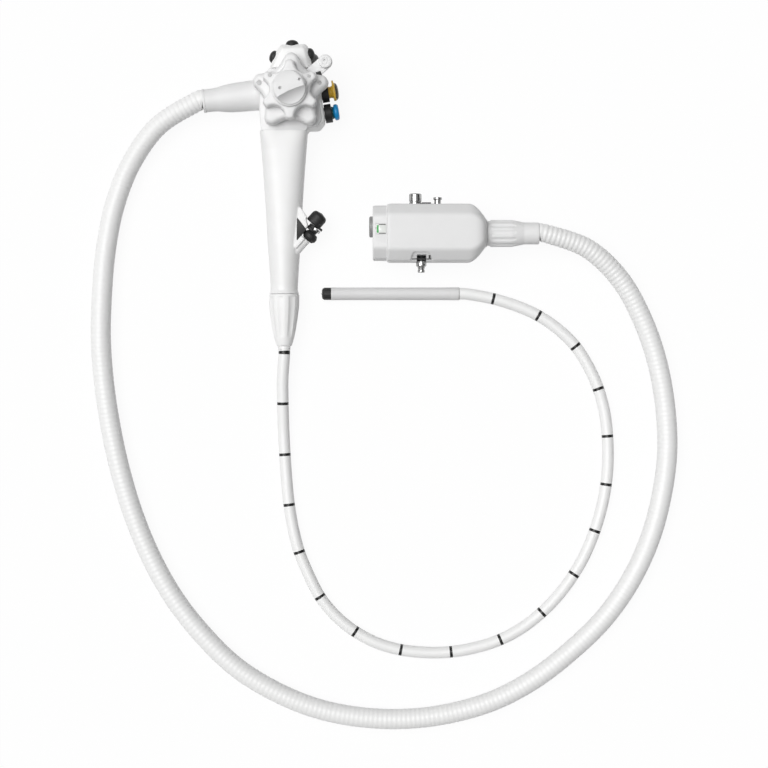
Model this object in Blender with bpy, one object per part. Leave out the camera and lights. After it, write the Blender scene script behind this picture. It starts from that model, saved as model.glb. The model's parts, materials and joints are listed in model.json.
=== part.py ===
# A flexible endoscope laid out flat on a table: control section with its knobs,
# valves and switches, insertion tube with the bending section at its far end,
# universal cord and the connector for the light source.
# Metres, +Z up. The origin is on the table, on the axis of the two angulation
# knobs. The grip runs along -Y, and the tip of the bending section points to -X.

import math
from math import cos, radians, sin, tan

import bmesh
import bpy
from mathutils import Matrix, Vector

MM = 0.001
CLEARANCE = 0.3 * MM
WELD = 0.000001

# Head of the control section, lying on its rear face
HEAD_DEPTH = 38 * MM
HEAD_WALL = 2.5 * MM
HEAD_FLOOR = 3 * MM
HEAD_CORNER = 5 * MM
HEAD_REAR_ROUND = 4 * MM
HEAD_TOP_Y = 25 * MM
HEAD_BOTTOM_Y = -36 * MM
HEAD_LEFT_X = -31 * MM
HEAD_TOP_HALF = 21 * MM
VALVE_WALL_LOW = Vector((33.7 * MM, -26 * MM, 0))
VALVE_WALL_HIGH = Vector((27 * MM, 16 * MM, 0))
FRONT_COVER_THICKNESS = 2.7 * MM
FRONT_COVER_EDGE = 1.2 * MM
BOSS_RADIUS = 15 * MM
BOSS_HEIGHT = 4.3 * MM

# Switch cover on top of the head
TOP_COVER_DEPTH = 36.5 * MM
TOP_COVER_HEIGHT = 24.2 * MM
TOP_COVER_BASE_HALF = 21 * MM
TOP_COVER_SHOULDER_HALF = 18.2 * MM
TOP_COVER_CREST_HALF = 9.5 * MM
TOP_COVER_FACET = 5 * MM

# Remote switches
SWITCH_RADIUS = 6.5 * MM
SWITCH_DOME = 5.2 * MM
SWITCH_SKIRT = 1.7 * MM
SWITCH_STEM_RADIUS = 3 * MM
SWITCH_STEM = 5 * MM
SWITCH_TRAVEL = 1.2 * MM
SWITCH_ROW_Z = 0.726 * TOP_COVER_DEPTH
LOW_SWITCH_Z = 0.288 * TOP_COVER_DEPTH
LOW_SWITCH_EXTRA = 3 * MM

# Angulation knobs and their shafts
UD_KNOB_RADIUS = 37.5 * MM
UD_KNOB_LOBES = 5
UD_KNOB_HEIGHT = 13.5 * MM
UD_SCALLOP_RADIUS = 18 * MM
UD_SCALLOP_CENTRE = 46.5 * MM
RL_KNOB_RADIUS = 29.5 * MM
RL_KNOB_LOBES = 6
RL_KNOB_HEIGHT = 13 * MM
RL_SCALLOP_RADIUS = 9.7 * MM
RL_SCALLOP_CENTRE = 30.5 * MM
KNOB_GAP = 0.6 * MM
KNOB_ROUND = 2.4 * MM
DIMPLE_RADIUS = 2.7 * MM
DIMPLE_DEPTH = 1 * MM
AXLE_RADIUS = 2.5 * MM
SHAFT_WALL = 1.4 * MM
DRUM_RADIUS = 5.6 * MM
DRUM_FLANGE_RADIUS = 9 * MM
DRUM_HEIGHT = 4 * MM
DRUM_FLANGE = 0.8 * MM
CHASSIS_THICKNESS = 3 * MM
CHASSIS_HUB_RADIUS = 7 * MM
CHASSIS_HUB_HEIGHT = 2.4 * MM

# Brakes
LEVER_PLATE = 2 * MM
LEVER_RING_WIDTH = 4 * MM
LEVER_REACH = 45.5 * MM
LEVER_HALF_WIDTH = 7 * MM
LEVER_ANGLE = radians(39)
LEVER_TAB_RADIUS = 6.6 * MM
LEVER_TAB_HEIGHT = 9.5 * MM
BRAKE_KNOB_RADIUS = 15.7 * MM
BRAKE_FLANGE_RADIUS = 17.5 * MM
BRAKE_FLANGE = 3 * MM
BRAKE_KNOB_HEIGHT = 13.5 * MM
BRAKE_BAR_HALF_WIDTH = 6.6 * MM
BRAKE_STEP_DEPTH = 6.5 * MM
BRAKE_BAR_ANGLE = radians(24)
BRAKE_PIN_OFFSET = 10.2 * MM
STOP_BLOCK_WIDTH = 4.6 * MM
STOP_BLOCK_REACH = 3.2 * MM
STOP_BLOCK_LOW = 22 * MM
STOP_BLOCK_HIGH = 34 * MM

# Suction valve and air and water valve
VALVE_AXIS_Z = 19 * MM
AIR_WATER_VALVE_AT = 8.2 * MM
VALVE_SPACING = 20.4 * MM
VALVE_TRAVEL = 4 * MM
CYLINDER_RADIUS = 6.5 * MM
CYLINDER_BORE = 4.3 * MM
CYLINDER_INSIDE = 16 * MM
COLLAR_RADIUS = 9.3 * MM
COLLAR_LENGTH = 8.6 * MM
COLLAR_FLOOR = 2.5 * MM
COLLAR_POCKET = 8.4 * MM
AIR_WATER_BUTTON_RADIUS = 8 * MM
AIR_WATER_BUTTON_LENGTH = 6.6 * MM
SUCTION_NECK_RADIUS = 6.5 * MM
SUCTION_FLANGE_RADIUS = 9.2 * MM
SUCTION_FLANGE = 2.4 * MM
SUCTION_TOP = 3.2 * MM

# Grip: share of the length below the head, width, depth and squareness of each section
GRIP_AXIS_X = -7.7 * MM
GRIP_LENGTH = 160 * MM
GRIP_WALL = 2.4 * MM
GRIP_SECTIONS = [
    (0.002, 47.2 * MM, 37.6 * MM, 3.4),
    (0.109, 44.4 * MM, 36.2 * MM, 3.0),
    (0.219, 41.6 * MM, 34.8 * MM, 2.7),
    (0.406, 37.6 * MM, 33.0 * MM, 2.4),
    (0.594, 34.0 * MM, 31.4 * MM, 2.2),
    (0.781, 30.9 * MM, 30.0 * MM, 2.0),
    (0.95, 28.8 * MM, 28.8 * MM, 2.0),
    (0.981, 28.8 * MM, 28.8 * MM, 2.0),
    (1, 30.4 * MM, 30.0 * MM, 2.0),
]

# Instrument channel port on the right of the grip
PORT_FOOT = Vector((3.8 * MM, HEAD_BOTTOM_Y - 0.729 * GRIP_LENGTH, 20 * MM))
PORT_ANGLE = radians(48.2)
PORT_SLEEVE_RADIUS = 5.4 * MM
PORT_SLEEVE_LENGTH = 14.6 * MM
PORT_WEB_THICKNESS = 10 * MM
CHANNEL_RADIUS = 1.6 * MM
PORT_RING_RADIUS = 7.4 * MM
PORT_RING_LENGTH = 9 * MM
PORT_RING_OFFSET = -1.7 * MM
MOUTHPIECE_RADIUS = 5.6 * MM
MOUTHPIECE_LENGTH = 2.6 * MM
BIOPSY_BODY_RADIUS = 6.2 * MM
BIOPSY_BODY_LENGTH = 3 * MM
BIOPSY_HOLE = 2.8 * MM
BIOPSY_CAP_RADIUS = 7.75 * MM
BIOPSY_CAP_LENGTH = 13.4 * MM
BIOPSY_CAP_OFFSET = 4.4 * MM
BIOPSY_HINGE_OFFSET = 6.5 * MM
INSERT_DEPTH = 1.6 * MM

# Boot where the insertion tube leaves the grip
BOOT_AXIS_Z = 15 * MM
BOOT_LENGTH = 51 * MM
BOOT_RADIUS = 14.9 * MM
BOOT_END_RADIUS = 7.5 * MM
BOOT_FLUTES = 8
BOOT_FLUTE_DEPTH = 0.9 * MM
BOOT_COLLAR_LENGTH = 3.8 * MM
BOOT_COLLAR_RADIUS = 6.2 * MM

# Insertion tube and bending section
TUBE_DIAMETER = 11.5 * MM
BEND_AXIS_Y = -195.3 * MM
BEND_AXIS_Z = 6.4 * MM
BEND_START_X = 166 * MM
BEND_TIP_X = 29.5 * MM
CUFF_RADIUS = 6.4 * MM
CUFF_LENGTH = 9 * MM
CUFF_BORE = 5.8 * MM
TIP_CUFF_LENGTH = 1.6 * MM
RING_RADIUS = 5.5 * MM
RING_WALL = 0.7 * MM
RING_SIDES = 20
EYE_SIDES = {"ud": (5, 15), "rl": (0, 10)}
HINGE_TURNS = {"ud": (0, math.pi), "rl": (math.pi / 2, -math.pi / 2)}
LUG_WALL = 0.7 * MM
LUG_WIDTH = 3 * MM
LUG_REACH = 1.9 * MM
RIVET_RADIUS = 0.8 * MM
RIVET_HOLE = 1.15 * MM
FIRST_HINGE = 13.8 * MM
HINGE_PITCH = 13.2 * MM
HINGE_COUNT = 9
NEAR_EDGE = 2.3 * MM
FAR_EDGE = 1 * MM
EDGE_SLOPE = radians(9)
UP_TILT = radians(25)
TIP_RADIUS = 6.2 * MM
TIP_LENGTH = 10 * MM
OBJECTIVE_RADIUS = 1.7 * MM
LIGHT_RADIUS = 1.1 * MM
LENS_RING = 3.4 * MM
LENS_DEPTH = 0.8 * MM

# Universal cord and its two boots
CORD_DIAMETER = 20 * MM
HEAD_BOOT_ROOT = Vector((-28 * MM, 1.4 * MM, 20 * MM))
HEAD_BOOT_END = Vector((-87.9 * MM, -5.2 * MM, 20 * MM))
HEAD_BOOT_RADIUS = 15.2 * MM
HEAD_BOOT_END_RADIUS = 11.3 * MM
HEAD_BOOT_LIP = 0.4 * MM

# Light source connector, lying on one of its flat sides
CONNECTOR_FRONT_X = 94.3 * MM
CONNECTOR_LENGTH = 98.5 * MM
CONNECTOR_WIDTH = 56.2 * MM
CONNECTOR_AXIS_Y = -136.8 * MM
CONNECTOR_CHAMFER = 11.7 * MM
CONNECTOR_SHOULDER = 17 * MM
CONNECTOR_NECK_RADIUS = 13 * MM
FRONT_RING_WIDTH = 52.6 * MM
FRONT_RING_LENGTH = 15.5 * MM
FRONT_RING_WALL = 3 * MM
FACE_PLATE_WIDTH = 44 * MM
FACE_PLATE_THICKNESS = 3 * MM
FACE_PLATE_SETBACK = 1.6 * MM
PLUG_RADIUS = 10.4 * MM
PLUG_LENGTH = 3 * MM
PLUG_OFFSET_Y = 6.4 * MM
WINDOW_LENGTH = 9.6 * MM
WINDOW_WIDTH = 9.9 * MM
WINDOW_OFFSET_Y = 2.5 * MM
WINDOW_DEPTH = 1 * MM
SUCTION_NIPPLE_X = 122.2 * MM
SUCTION_NIPPLE_RADIUS = 6 * MM
SUCTION_NIPPLE_HEIGHT = 11 * MM
WATER_NIPPLE_X = 144.1 * MM
WATER_NIPPLE_RADIUS = 4.2 * MM
WATER_NIPPLE_HEIGHT = 7.4 * MM
AIR_NIPPLE_X = 128 * MM
AIR_NIPPLE_RADIUS = 5 * MM
AIR_NIPPLE_REACH = 10.4 * MM
RECESS_LENGTH = 23.6 * MM
RECESS_HEIGHT = 52 * MM
RECESS_DEPTH = 10 * MM
CONNECTOR_BOOT_LENGTH = 51 * MM
CONNECTOR_BOOT_RADIUS = 13.3 * MM
CONNECTOR_BOOT_END_RADIUS = 10.8 * MM
CONNECTOR_BOOT_FLUTES = 12

CONNECTOR_AXIS_Z = CONNECTOR_WIDTH / 2
BODY_TOP = HEAD_DEPTH
BOSS_TOP = HEAD_DEPTH + BOSS_HEIGHT
UD_KNOB_Z = BOSS_TOP + CLEARANCE
RL_KNOB_Z = UD_KNOB_Z + UD_KNOB_HEIGHT + KNOB_GAP
BRAKE_KNOB_Z = RL_KNOB_Z + RL_KNOB_HEIGHT + KNOB_GAP
PORT_DIRECTION = Vector((cos(PORT_ANGLE), sin(PORT_ANGLE), 0))
PORT_SIDE = Vector((-sin(PORT_ANGLE), cos(PORT_ANGLE), 0))
VALVE_WALL = (VALVE_WALL_HIGH - VALVE_WALL_LOW).normalized()
VALVE_DIRECTION = Vector((VALVE_WALL.y, -VALVE_WALL.x, 0))
BOOT_TOP_Y = HEAD_BOTTOM_Y - GRIP_LENGTH - CLEARANCE
TUBE_START_Y = BOOT_TOP_Y - BOOT_LENGTH - BOOT_COLLAR_LENGTH - CLEARANCE
CORD_END_X = CONNECTOR_FRONT_X + CONNECTOR_LENGTH + CONNECTOR_BOOT_LENGTH + 2 * CLEARANCE

# Routes of the two tubes, in millimetres, read off their centre lines
UNIVERSAL_CORD_ROUTE = [
    (-104, -8.9, 19.6), (-115.5, -14.3, 18.4), (-127.5, -24, 16.5), (-145, -44, 13.5),
    (-162.5, -70.5, 11.2), (-176, -106, 10.2), (-184, -142, 10.1), (-188.5, -186, 10.1),
    (-190.5, -231.5, 10.1), (-187.5, -281, 10.1), (-180, -331, 10.1), (-168.5, -381, 10.1),
    (-152, -431, 10.1), (-128.5, -480.5, 10.1), (-100.5, -521, 10.1), (-64, -560, 10.1),
    (-22, -588.5, 10.1), (37.5, -611.5, 10.1), (107.5, -618.5, 10.1), (177, -608, 10.1),
    (236.5, -581.5, 10.1), (296.5, -533, 10.1), (330.5, -490.5, 10.1), (351.5, -450.5, 10.1),
    (364.5, -410.5, 10.1), (372.5, -361, 10.1), (372.5, -321, 10.1), (365, -271.5, 10.1),
    (352.5, -231.5, 11), (333.5, -192, 14), (306, -161.5, 19.5), (276.5, -142.5, 26),
]
INSERTION_TUBE_ROUTE = [
    (-9.3, -274, 13), (-9.3, -303, 9.6), (-8.8, -329, 6.6), (-7.5, -355.2, 5.8),
    (-3.2, -405.5, 5.8), (6.9, -452.7, 5.8), (27.5, -497.2, 5.8), (43.4, -516.5, 5.8),
    (62.5, -532, 5.8), (84.4, -543.4, 5.8), (108, -550.2, 5.8), (133.2, -552.9, 5.8),
    (158.3, -552.2, 5.8), (183, -547.9, 5.8), (207.3, -540, 5.8), (228.9, -528.5, 5.8),
    (248.6, -512.9, 5.8), (265.8, -495.1, 5.8), (280.5, -475, 5.8), (292.2, -454.2, 5.8),
    (301.4, -431.6, 5.8), (308.2, -408.8, 5.8), (312.7, -385.4, 5.8), (314.6, -361, 5.8),
    (314.1, -337, 5.8), (311.2, -313.1, 5.8), (305, -290, 5.8), (295.2, -267.8, 5.8),
    (282.3, -247.8, 5.8), (265.3, -230.9, 5.8), (245.2, -217, 5.8), (223.5, -207.4, 5.8),
    (200.4, -200.2, 6),
]
STRAIGHT_END = 6 * MM
UNIVERSAL_CORD_POINT_COUNT = 36
INSERTION_TUBE_POINT_COUNT = 40


# Helpers

def clear_scene():
    for thing in list(bpy.data.objects):
        bpy.data.objects.remove(thing, do_unlink=True)


def material(name, colour, roughness, metallic=0.0):
    surface = bpy.data.materials.new(name)
    surface.use_nodes = True
    shader = surface.node_tree.nodes["Principled BSDF"]
    shader.inputs["Base Color"].default_value = (*colour, 1)
    shader.inputs["Roughness"].default_value = roughness
    shader.inputs["Metallic"].default_value = metallic
    surface.diffuse_color = (*colour, 1)
    return surface


def add_part(name, mesh, surface=None):
    """Turns a bmesh into an object with clean normals and smooth round faces."""
    bmesh.ops.remove_doubles(mesh, verts=mesh.verts, dist=WELD)
    bmesh.ops.recalc_face_normals(mesh, faces=mesh.faces)
    data = bpy.data.meshes.new(name)
    mesh.to_mesh(data)
    mesh.free()
    data.shade_smooth()
    data.set_sharp_from_angle(angle=radians(38))
    if surface:
        data.materials.append(surface)
    part = bpy.data.objects.new(name, data)
    bpy.context.scene.collection.objects.link(part)
    return part


def aim(part, origin, direction, up="Y"):
    """Puts a part at origin with its own +Z along direction."""
    part.location = origin
    part.rotation_mode = "QUATERNION"
    part.rotation_quaternion = Vector(direction).to_track_quat("Z", up)
    return part


def hang_on(part, parent):
    """Parents a part and leaves it where it is."""
    bpy.context.view_layer.update()
    part.parent = parent
    part.matrix_parent_inverse = parent.matrix_world.inverted()
    return part


def boolean(part, other, operation):
    other.hide_render = True
    other.display_type = "WIRE"
    change = part.modifiers.new(other.name, "BOOLEAN")
    change.operation = operation
    change.object = other
    change.solver = "EXACT"
    return part


def cut(part, cutter):
    return boolean(part, cutter, "DIFFERENCE")


def join(part, other):
    return boolean(part, other, "UNION")


def bevel(part, width, segments=2, angle=40):
    change = part.modifiers.new("Bevel", "BEVEL")
    change.width = width
    change.segments = segments
    change.limit_method = "ANGLE"
    change.angle_limit = radians(angle)
    return part


def turned(profile, sides=24, closed=False):
    """Spins (radius, height) points round Z. A closed profile makes a ring."""
    mesh = bmesh.new()
    corners = [mesh.verts.new((radius, 0, height)) for radius, height in profile]
    edges = [mesh.edges.new(pair) for pair in zip(corners, corners[1:])]
    if closed:
        edges.append(mesh.edges.new((corners[-1], corners[0])))
    bmesh.ops.spin(
        mesh, geom=corners + edges, cent=(0, 0, 0), axis=(0, 0, 1),
        angle=2 * math.pi, steps=sides, use_merge=True,
    )
    bmesh.ops.remove_doubles(mesh, verts=mesh.verts, dist=WELD)
    return mesh


def tube_profile(outer, inner, low, high):
    return [(outer, high), (outer, low), (inner, low), (inner, high)]


def rod(radius, low, high, sides=16):
    return turned([(0, high), (radius, high), (radius, low), (0, low)], sides)


def prism(outline, low, high):
    """Raises a flat outline of (x, y) points from low to high."""
    mesh = bmesh.new()
    base = mesh.faces.new([mesh.verts.new((point[0], point[1], low)) for point in outline])
    raised = bmesh.ops.extrude_face_region(mesh, geom=[base])["geom"]
    moved = [item for item in raised if isinstance(item, bmesh.types.BMVert)]
    bmesh.ops.translate(mesh, verts=moved, vec=(0, 0, high - low))
    return mesh


def block(low, high):
    outline = [(low[0], low[1]), (high[0], low[1]), (high[0], high[1]), (low[0], high[1])]
    return prism(outline, low[2], high[2])


def rounded(corners, radius, steps=2):
    """Outline whose corners are arcs of the given radius where the sides allow it."""
    outline = []
    for index, corner in enumerate(corners):
        corner = Vector(corner[:2])
        before = Vector(corners[index - 1][:2]) - corner
        after = Vector(corners[(index + 1) % len(corners)][:2]) - corner
        half = before.angle(after) / 2
        reach = min(radius / tan(half), 0.45 * before.length, 0.45 * after.length)
        centre = corner + (before.normalized() + after.normalized()).normalized() * reach / cos(half)
        start = corner + before.normalized() * reach - centre
        end = corner + after.normalized() * reach - centre
        for step in range(steps + 1):
            outline.append(centre + start.slerp(end, step / steps) * start.length)
    return outline


def lobed_outline(radius, lobes, scallop_radius, scallop_centre, first_scallop):
    """Round knob outline with evenly spaced scallops between its lobes."""
    reach = math.acos(
        (radius**2 + scallop_centre**2 - scallop_radius**2) / (2 * radius * scallop_centre)
    )
    opening = math.asin(radius * sin(reach) / scallop_radius)
    pitch = 2 * math.pi / lobes
    outline = []
    for index in range(lobes):
        angle = first_scallop + index * pitch
        centre = Vector((cos(angle), sin(angle))) * scallop_centre
        for share in (-0.86, -0.43, 0, 0.43, 0.86):
            turn = angle + math.pi - share * opening
            outline.append(centre + Vector((cos(turn), sin(turn))) * scallop_radius)
        lobe = angle + pitch / 2
        for share in (-0.7, 0, 0.7):
            turn = lobe + share * (pitch / 2 - reach)
            outline.append(Vector((cos(turn), sin(turn))) * radius)
    return outline


def oval(width, depth, squareness, count=24):
    """Outline between an ellipse, squareness 2, and a rounded rectangle."""
    outline = []
    for index in range(count):
        angle = 2 * math.pi * index / count
        across, along = cos(angle), sin(angle)
        outline.append(Vector((
            math.copysign(abs(across) ** (2 / squareness), across) * width / 2,
            math.copysign(abs(along) ** (2 / squareness), along) * depth / 2,
        )))
    return outline


def loft(sections, ring=False):
    """Skins loops of 3D points that all have the same count. A ring joins its
    last loop to its first one, anything else has its two end loops filled."""
    mesh = bmesh.new()
    loops = [[mesh.verts.new(point) for point in section] for section in sections]
    pairs = list(zip(loops, loops[1:]))
    if ring:
        pairs.append((loops[-1], loops[0]))
    else:
        mesh.faces.new(loops[0])
        mesh.faces.new(loops[-1])
    for near, far in pairs:
        for index in range(len(near)):
            mesh.faces.new((near[index - 1], near[index], far[index], far[index - 1]))
    return mesh


def smooth_route(points, count):
    """Even points along a smooth curve through the given ones."""
    points = [Vector(point) for point in points]
    ends = [2 * points[0] - points[1]] + points + [2 * points[-1] - points[-2]]
    dense = []
    for before, start, end, after in zip(ends, ends[1:], ends[2:], ends[3:]):
        for step in range(16):
            share = step / 16
            dense.append(0.5 * (
                2 * start + (end - before) * share
                + (2 * before - 5 * start + 4 * end - after) * share**2
                + (3 * start - before - 3 * end + after) * share**3
            ))
    dense.append(points[-1])
    lengths = [0.0]
    for start, end in zip(dense, dense[1:]):
        lengths.append(lengths[-1] + (end - start).length)
    route = []
    index = 0
    for number in range(count):
        target = lengths[-1] * number / (count - 1)
        while index < len(dense) - 2 and lengths[index + 1] < target:
            index += 1
        share = (target - lengths[index]) / (lengths[index + 1] - lengths[index])
        route.append(dense[index].lerp(dense[index + 1], share))
    return route


def cord_tube(name, route, diameter, surface):
    curve = bpy.data.curves.new(name, "CURVE")
    curve.dimensions = "3D"
    curve.bevel_depth = diameter / 2
    curve.bevel_resolution = 2
    curve.use_fill_caps = True
    line = curve.splines.new("POLY")
    line.points.add(len(route) - 1)
    for point, place in zip(line.points, route):
        point.co = (*place, 1)
    line.use_smooth = True
    curve.materials.append(surface)
    tube = bpy.data.objects.new(name, curve)
    bpy.context.scene.collection.objects.link(tube)
    return tube


# Head of the control section

def head_outline(inset=0.0):
    corners = [
        (HEAD_LEFT_X + inset, HEAD_BOTTOM_Y + inset),
        (17 * MM, HEAD_BOTTOM_Y + inset),
        (VALVE_WALL_LOW.x - 4.5 * MM - inset, HEAD_BOTTOM_Y + 3 * MM + inset),
        (VALVE_WALL_LOW.x - inset, VALVE_WALL_LOW.y + inset / 2),
        (VALVE_WALL_HIGH.x - inset, VALVE_WALL_HIGH.y - inset / 2),
        (HEAD_TOP_HALF - inset / 2, HEAD_TOP_Y - inset),
        (-HEAD_TOP_HALF + inset / 2, HEAD_TOP_Y - inset),
        (HEAD_LEFT_X + inset, HEAD_TOP_Y - 10 * MM - inset / 2),
    ]
    return rounded(corners, HEAD_CORNER)


def valve_seat(distance):
    """Point on the outside of the valve wall, measured up from its lower end."""
    return VALVE_WALL_LOW + VALVE_WALL * distance + Vector((0, 0, VALVE_AXIS_Z))


def make_head(white):
    rim = HEAD_DEPTH - FRONT_COVER_THICKNESS
    mesh = prism(head_outline(), 0, rim)
    top = next(face for face in mesh.faces if abs(face.calc_center_median().z - rim) < WELD)
    rear = [edge for edge in mesh.edges if all(abs(vert.co.z) < WELD for vert in edge.verts)]
    bmesh.ops.inset_region(mesh, faces=[top], thickness=HEAD_WALL, use_even_offset=True)
    pocket = bmesh.ops.extrude_face_region(mesh, geom=[top])["geom"]
    bmesh.ops.delete(mesh, geom=[top], context="FACES_ONLY")
    floor = [item for item in pocket if isinstance(item, bmesh.types.BMVert)]
    bmesh.ops.translate(mesh, verts=floor, vec=(0, 0, HEAD_FLOOR - rim))
    bmesh.ops.bevel(
        mesh, geom=rear, offset=HEAD_REAR_ROUND, offset_type="OFFSET", segments=3,
        profile=0.5, affect="EDGES",
    )
    housing = add_part("head_housing", mesh, white)
    for number, distance in enumerate((AIR_WATER_VALVE_AT, AIR_WATER_VALVE_AT + VALVE_SPACING)):
        hole = add_part(f"valve_hole_{number + 1}", rod(
            CYLINDER_RADIUS + CLEARANCE, -2 * HEAD_WALL, HEAD_WALL, 24))
        cut(housing, aim(hole, valve_seat(distance), VALVE_DIRECTION))

    front = add_part("head_front_cover", prism(
        head_outline(), rim + CLEARANCE, HEAD_DEPTH), white)
    bevel(front, FRONT_COVER_EDGE, 2, 60)
    boss = add_part("knob_boss", rod(BOSS_RADIUS, rim + 2 * CLEARANCE, BOSS_TOP, 32))
    bore = add_part("knob_boss_bore", rod(
        ud_shaft_radius() + CLEARANCE, rim - MM, BOSS_TOP + MM, 24))
    join(front, boss)
    cut(front, bore)


def top_cover_corners():
    low = HEAD_TOP_Y + CLEARANCE
    crest = HEAD_TOP_Y + TOP_COVER_HEIGHT
    return [
        (-TOP_COVER_BASE_HALF, low),
        (TOP_COVER_BASE_HALF + 0.5 * MM, low),
        (TOP_COVER_SHOULDER_HALF + 1.6 * MM, low + 4.5 * MM),
        (TOP_COVER_SHOULDER_HALF - 1.6 * MM, crest - 3.4 * MM),
        (TOP_COVER_CREST_HALF + 2.2 * MM, crest),
        (-TOP_COVER_CREST_HALF + 3.5 * MM, crest - 0.4 * MM),
        (-TOP_COVER_CREST_HALF - 4.8 * MM, crest - 5.8 * MM),
        (-TOP_COVER_SHOULDER_HALF - 0.5 * MM, low + 5.8 * MM),
    ]


def switch_places():
    """Seat point, outward direction and extra length of each remote switch."""
    corners = [Vector((*corner, 0)) for corner in top_cover_corners()]

    def on_side(first, second, share, height):
        along = (corners[second] - corners[first]).normalized()
        seat = corners[first].lerp(corners[second], share)
        return seat + Vector((0, 0, height)), Vector((along.y, -along.x, 0))

    top = on_side(4, 5, 0.62, SWITCH_ROW_Z)
    left = on_side(6, 7, 0.5, SWITCH_ROW_Z)
    right = on_side(2, 3, 0.62, SWITCH_ROW_Z)
    low = on_side(2, 3, 0.45, LOW_SWITCH_Z)
    return [(*top, 0), (*left, 0), (*right, 0), (*low, LOW_SWITCH_EXTRA)]


def make_top_cover(white, black):
    mesh = prism(rounded(top_cover_corners(), 1.5 * MM, 2), CLEARANCE, TOP_COVER_DEPTH)
    crest = [
        edge for edge in mesh.edges
        if all(vert.co.z > TOP_COVER_DEPTH - WELD for vert in edge.verts)
        and max(vert.co.y for vert in edge.verts) > HEAD_TOP_Y + 2 * MM
    ]
    bmesh.ops.bevel(
        mesh, geom=crest, offset=TOP_COVER_FACET, offset_type="OFFSET", segments=1,
        profile=0.5, affect="EDGES",
    )
    cover = add_part("head_top_cover", mesh, white)
    pocket = SWITCH_SKIRT + SWITCH_TRAVEL + CLEARANCE
    stem = SWITCH_SKIRT + SWITCH_STEM
    for number, (seat, direction, extra) in enumerate(switch_places()):
        outer = SWITCH_RADIUS + CLEARANCE
        inner = SWITCH_STEM_RADIUS + CLEARANCE
        hole = add_part(f"switch_hole_{number + 1}", turned([
            (0, 3 * MM), (outer, 3 * MM), (outer, -pocket), (inner, -pocket),
            (inner, -stem - SWITCH_TRAVEL - CLEARANCE), (0, -stem - SWITCH_TRAVEL - CLEARANCE),
        ], 16))
        cut(cover, aim(hole, seat, direction))
        crown = SWITCH_DOME + extra
        button = add_part(f"remote_switch_{number + 1}", turned([
            (0, crown), (0.45 * SWITCH_RADIUS, crown - 0.25 * MM),
            (0.8 * SWITCH_RADIUS, crown - 1.6 * MM), (0.96 * SWITCH_RADIUS, crown - 3.4 * MM),
            (SWITCH_RADIUS, extra * 0.8), (SWITCH_RADIUS, -SWITCH_SKIRT),
            (SWITCH_STEM_RADIUS, -SWITCH_SKIRT), (SWITCH_STEM_RADIUS, -stem), (0, -stem),
        ], 16), black)
        aim(button, seat, direction)


# Angulation control

def rl_shaft_radius():
    return AXLE_RADIUS + CLEARANCE + SHAFT_WALL


def ud_shaft_radius():
    return rl_shaft_radius() + CLEARANCE + SHAFT_WALL


def drum_profile(inner, outer, foot, top):
    """Sleeve with a flanged cable drum at its foot, as a closed profile."""
    head = foot + DRUM_HEIGHT
    return [
        (outer, top), (outer, head), (DRUM_FLANGE_RADIUS, head),
        (DRUM_FLANGE_RADIUS, head - DRUM_FLANGE), (DRUM_RADIUS, head - DRUM_FLANGE),
        (DRUM_RADIUS, foot + DRUM_FLANGE), (DRUM_FLANGE_RADIUS, foot + DRUM_FLANGE),
        (DRUM_FLANGE_RADIUS, foot), (inner, foot), (inner, top),
    ]


def make_chassis(steel):
    low = HEAD_FLOOR + CLEARANCE
    plate_top = low + CHASSIS_THICKNESS
    outline = rounded([(-24 * MM, -30 * MM), (22 * MM, -30 * MM), (22 * MM, 18 * MM), (-24 * MM, 18 * MM)],
                      4 * MM, 2)
    plate = add_part("chassis_plate", prism(outline, low, plate_top), steel)
    hub = add_part("chassis_hub", rod(
        CHASSIS_HUB_RADIUS, low + CLEARANCE, plate_top + CHASSIS_HUB_HEIGHT, 20))
    join(plate, hub)
    axle_top = BRAKE_KNOB_Z + BRAKE_KNOB_HEIGHT - 3 * MM
    join(plate, add_part("knob_axle", rod(AXLE_RADIUS, low + 2 * CLEARANCE, axle_top, 16)))
    return plate_top + CHASSIS_HUB_HEIGHT, axle_top


def make_knob(name, surface, outline, low, height, bore_radius, dimple_at, dimple_angles):
    mesh = prism(outline, 0, height)
    knob = add_part(name, mesh, surface)
    bevel(knob, KNOB_ROUND, 2, 60)
    bore = add_part(f"{name}_bore", rod(bore_radius, -MM, height + MM, 20))
    cut(knob, bore)
    marks = bmesh.new()
    for angle in dimple_angles:
        bmesh.ops.create_cone(
            marks, cap_ends=True, segments=10, radius1=DIMPLE_RADIUS * 0.7, radius2=DIMPLE_RADIUS,
            depth=2 * DIMPLE_DEPTH,
            matrix=Matrix.Translation((cos(angle) * dimple_at, sin(angle) * dimple_at, height)),
        )
    dimples = add_part(f"{name}_dimples", marks)
    cut(knob, dimples)
    for piece in (knob, bore, dimples):
        piece.location = (0, 0, low)
    return knob


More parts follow.
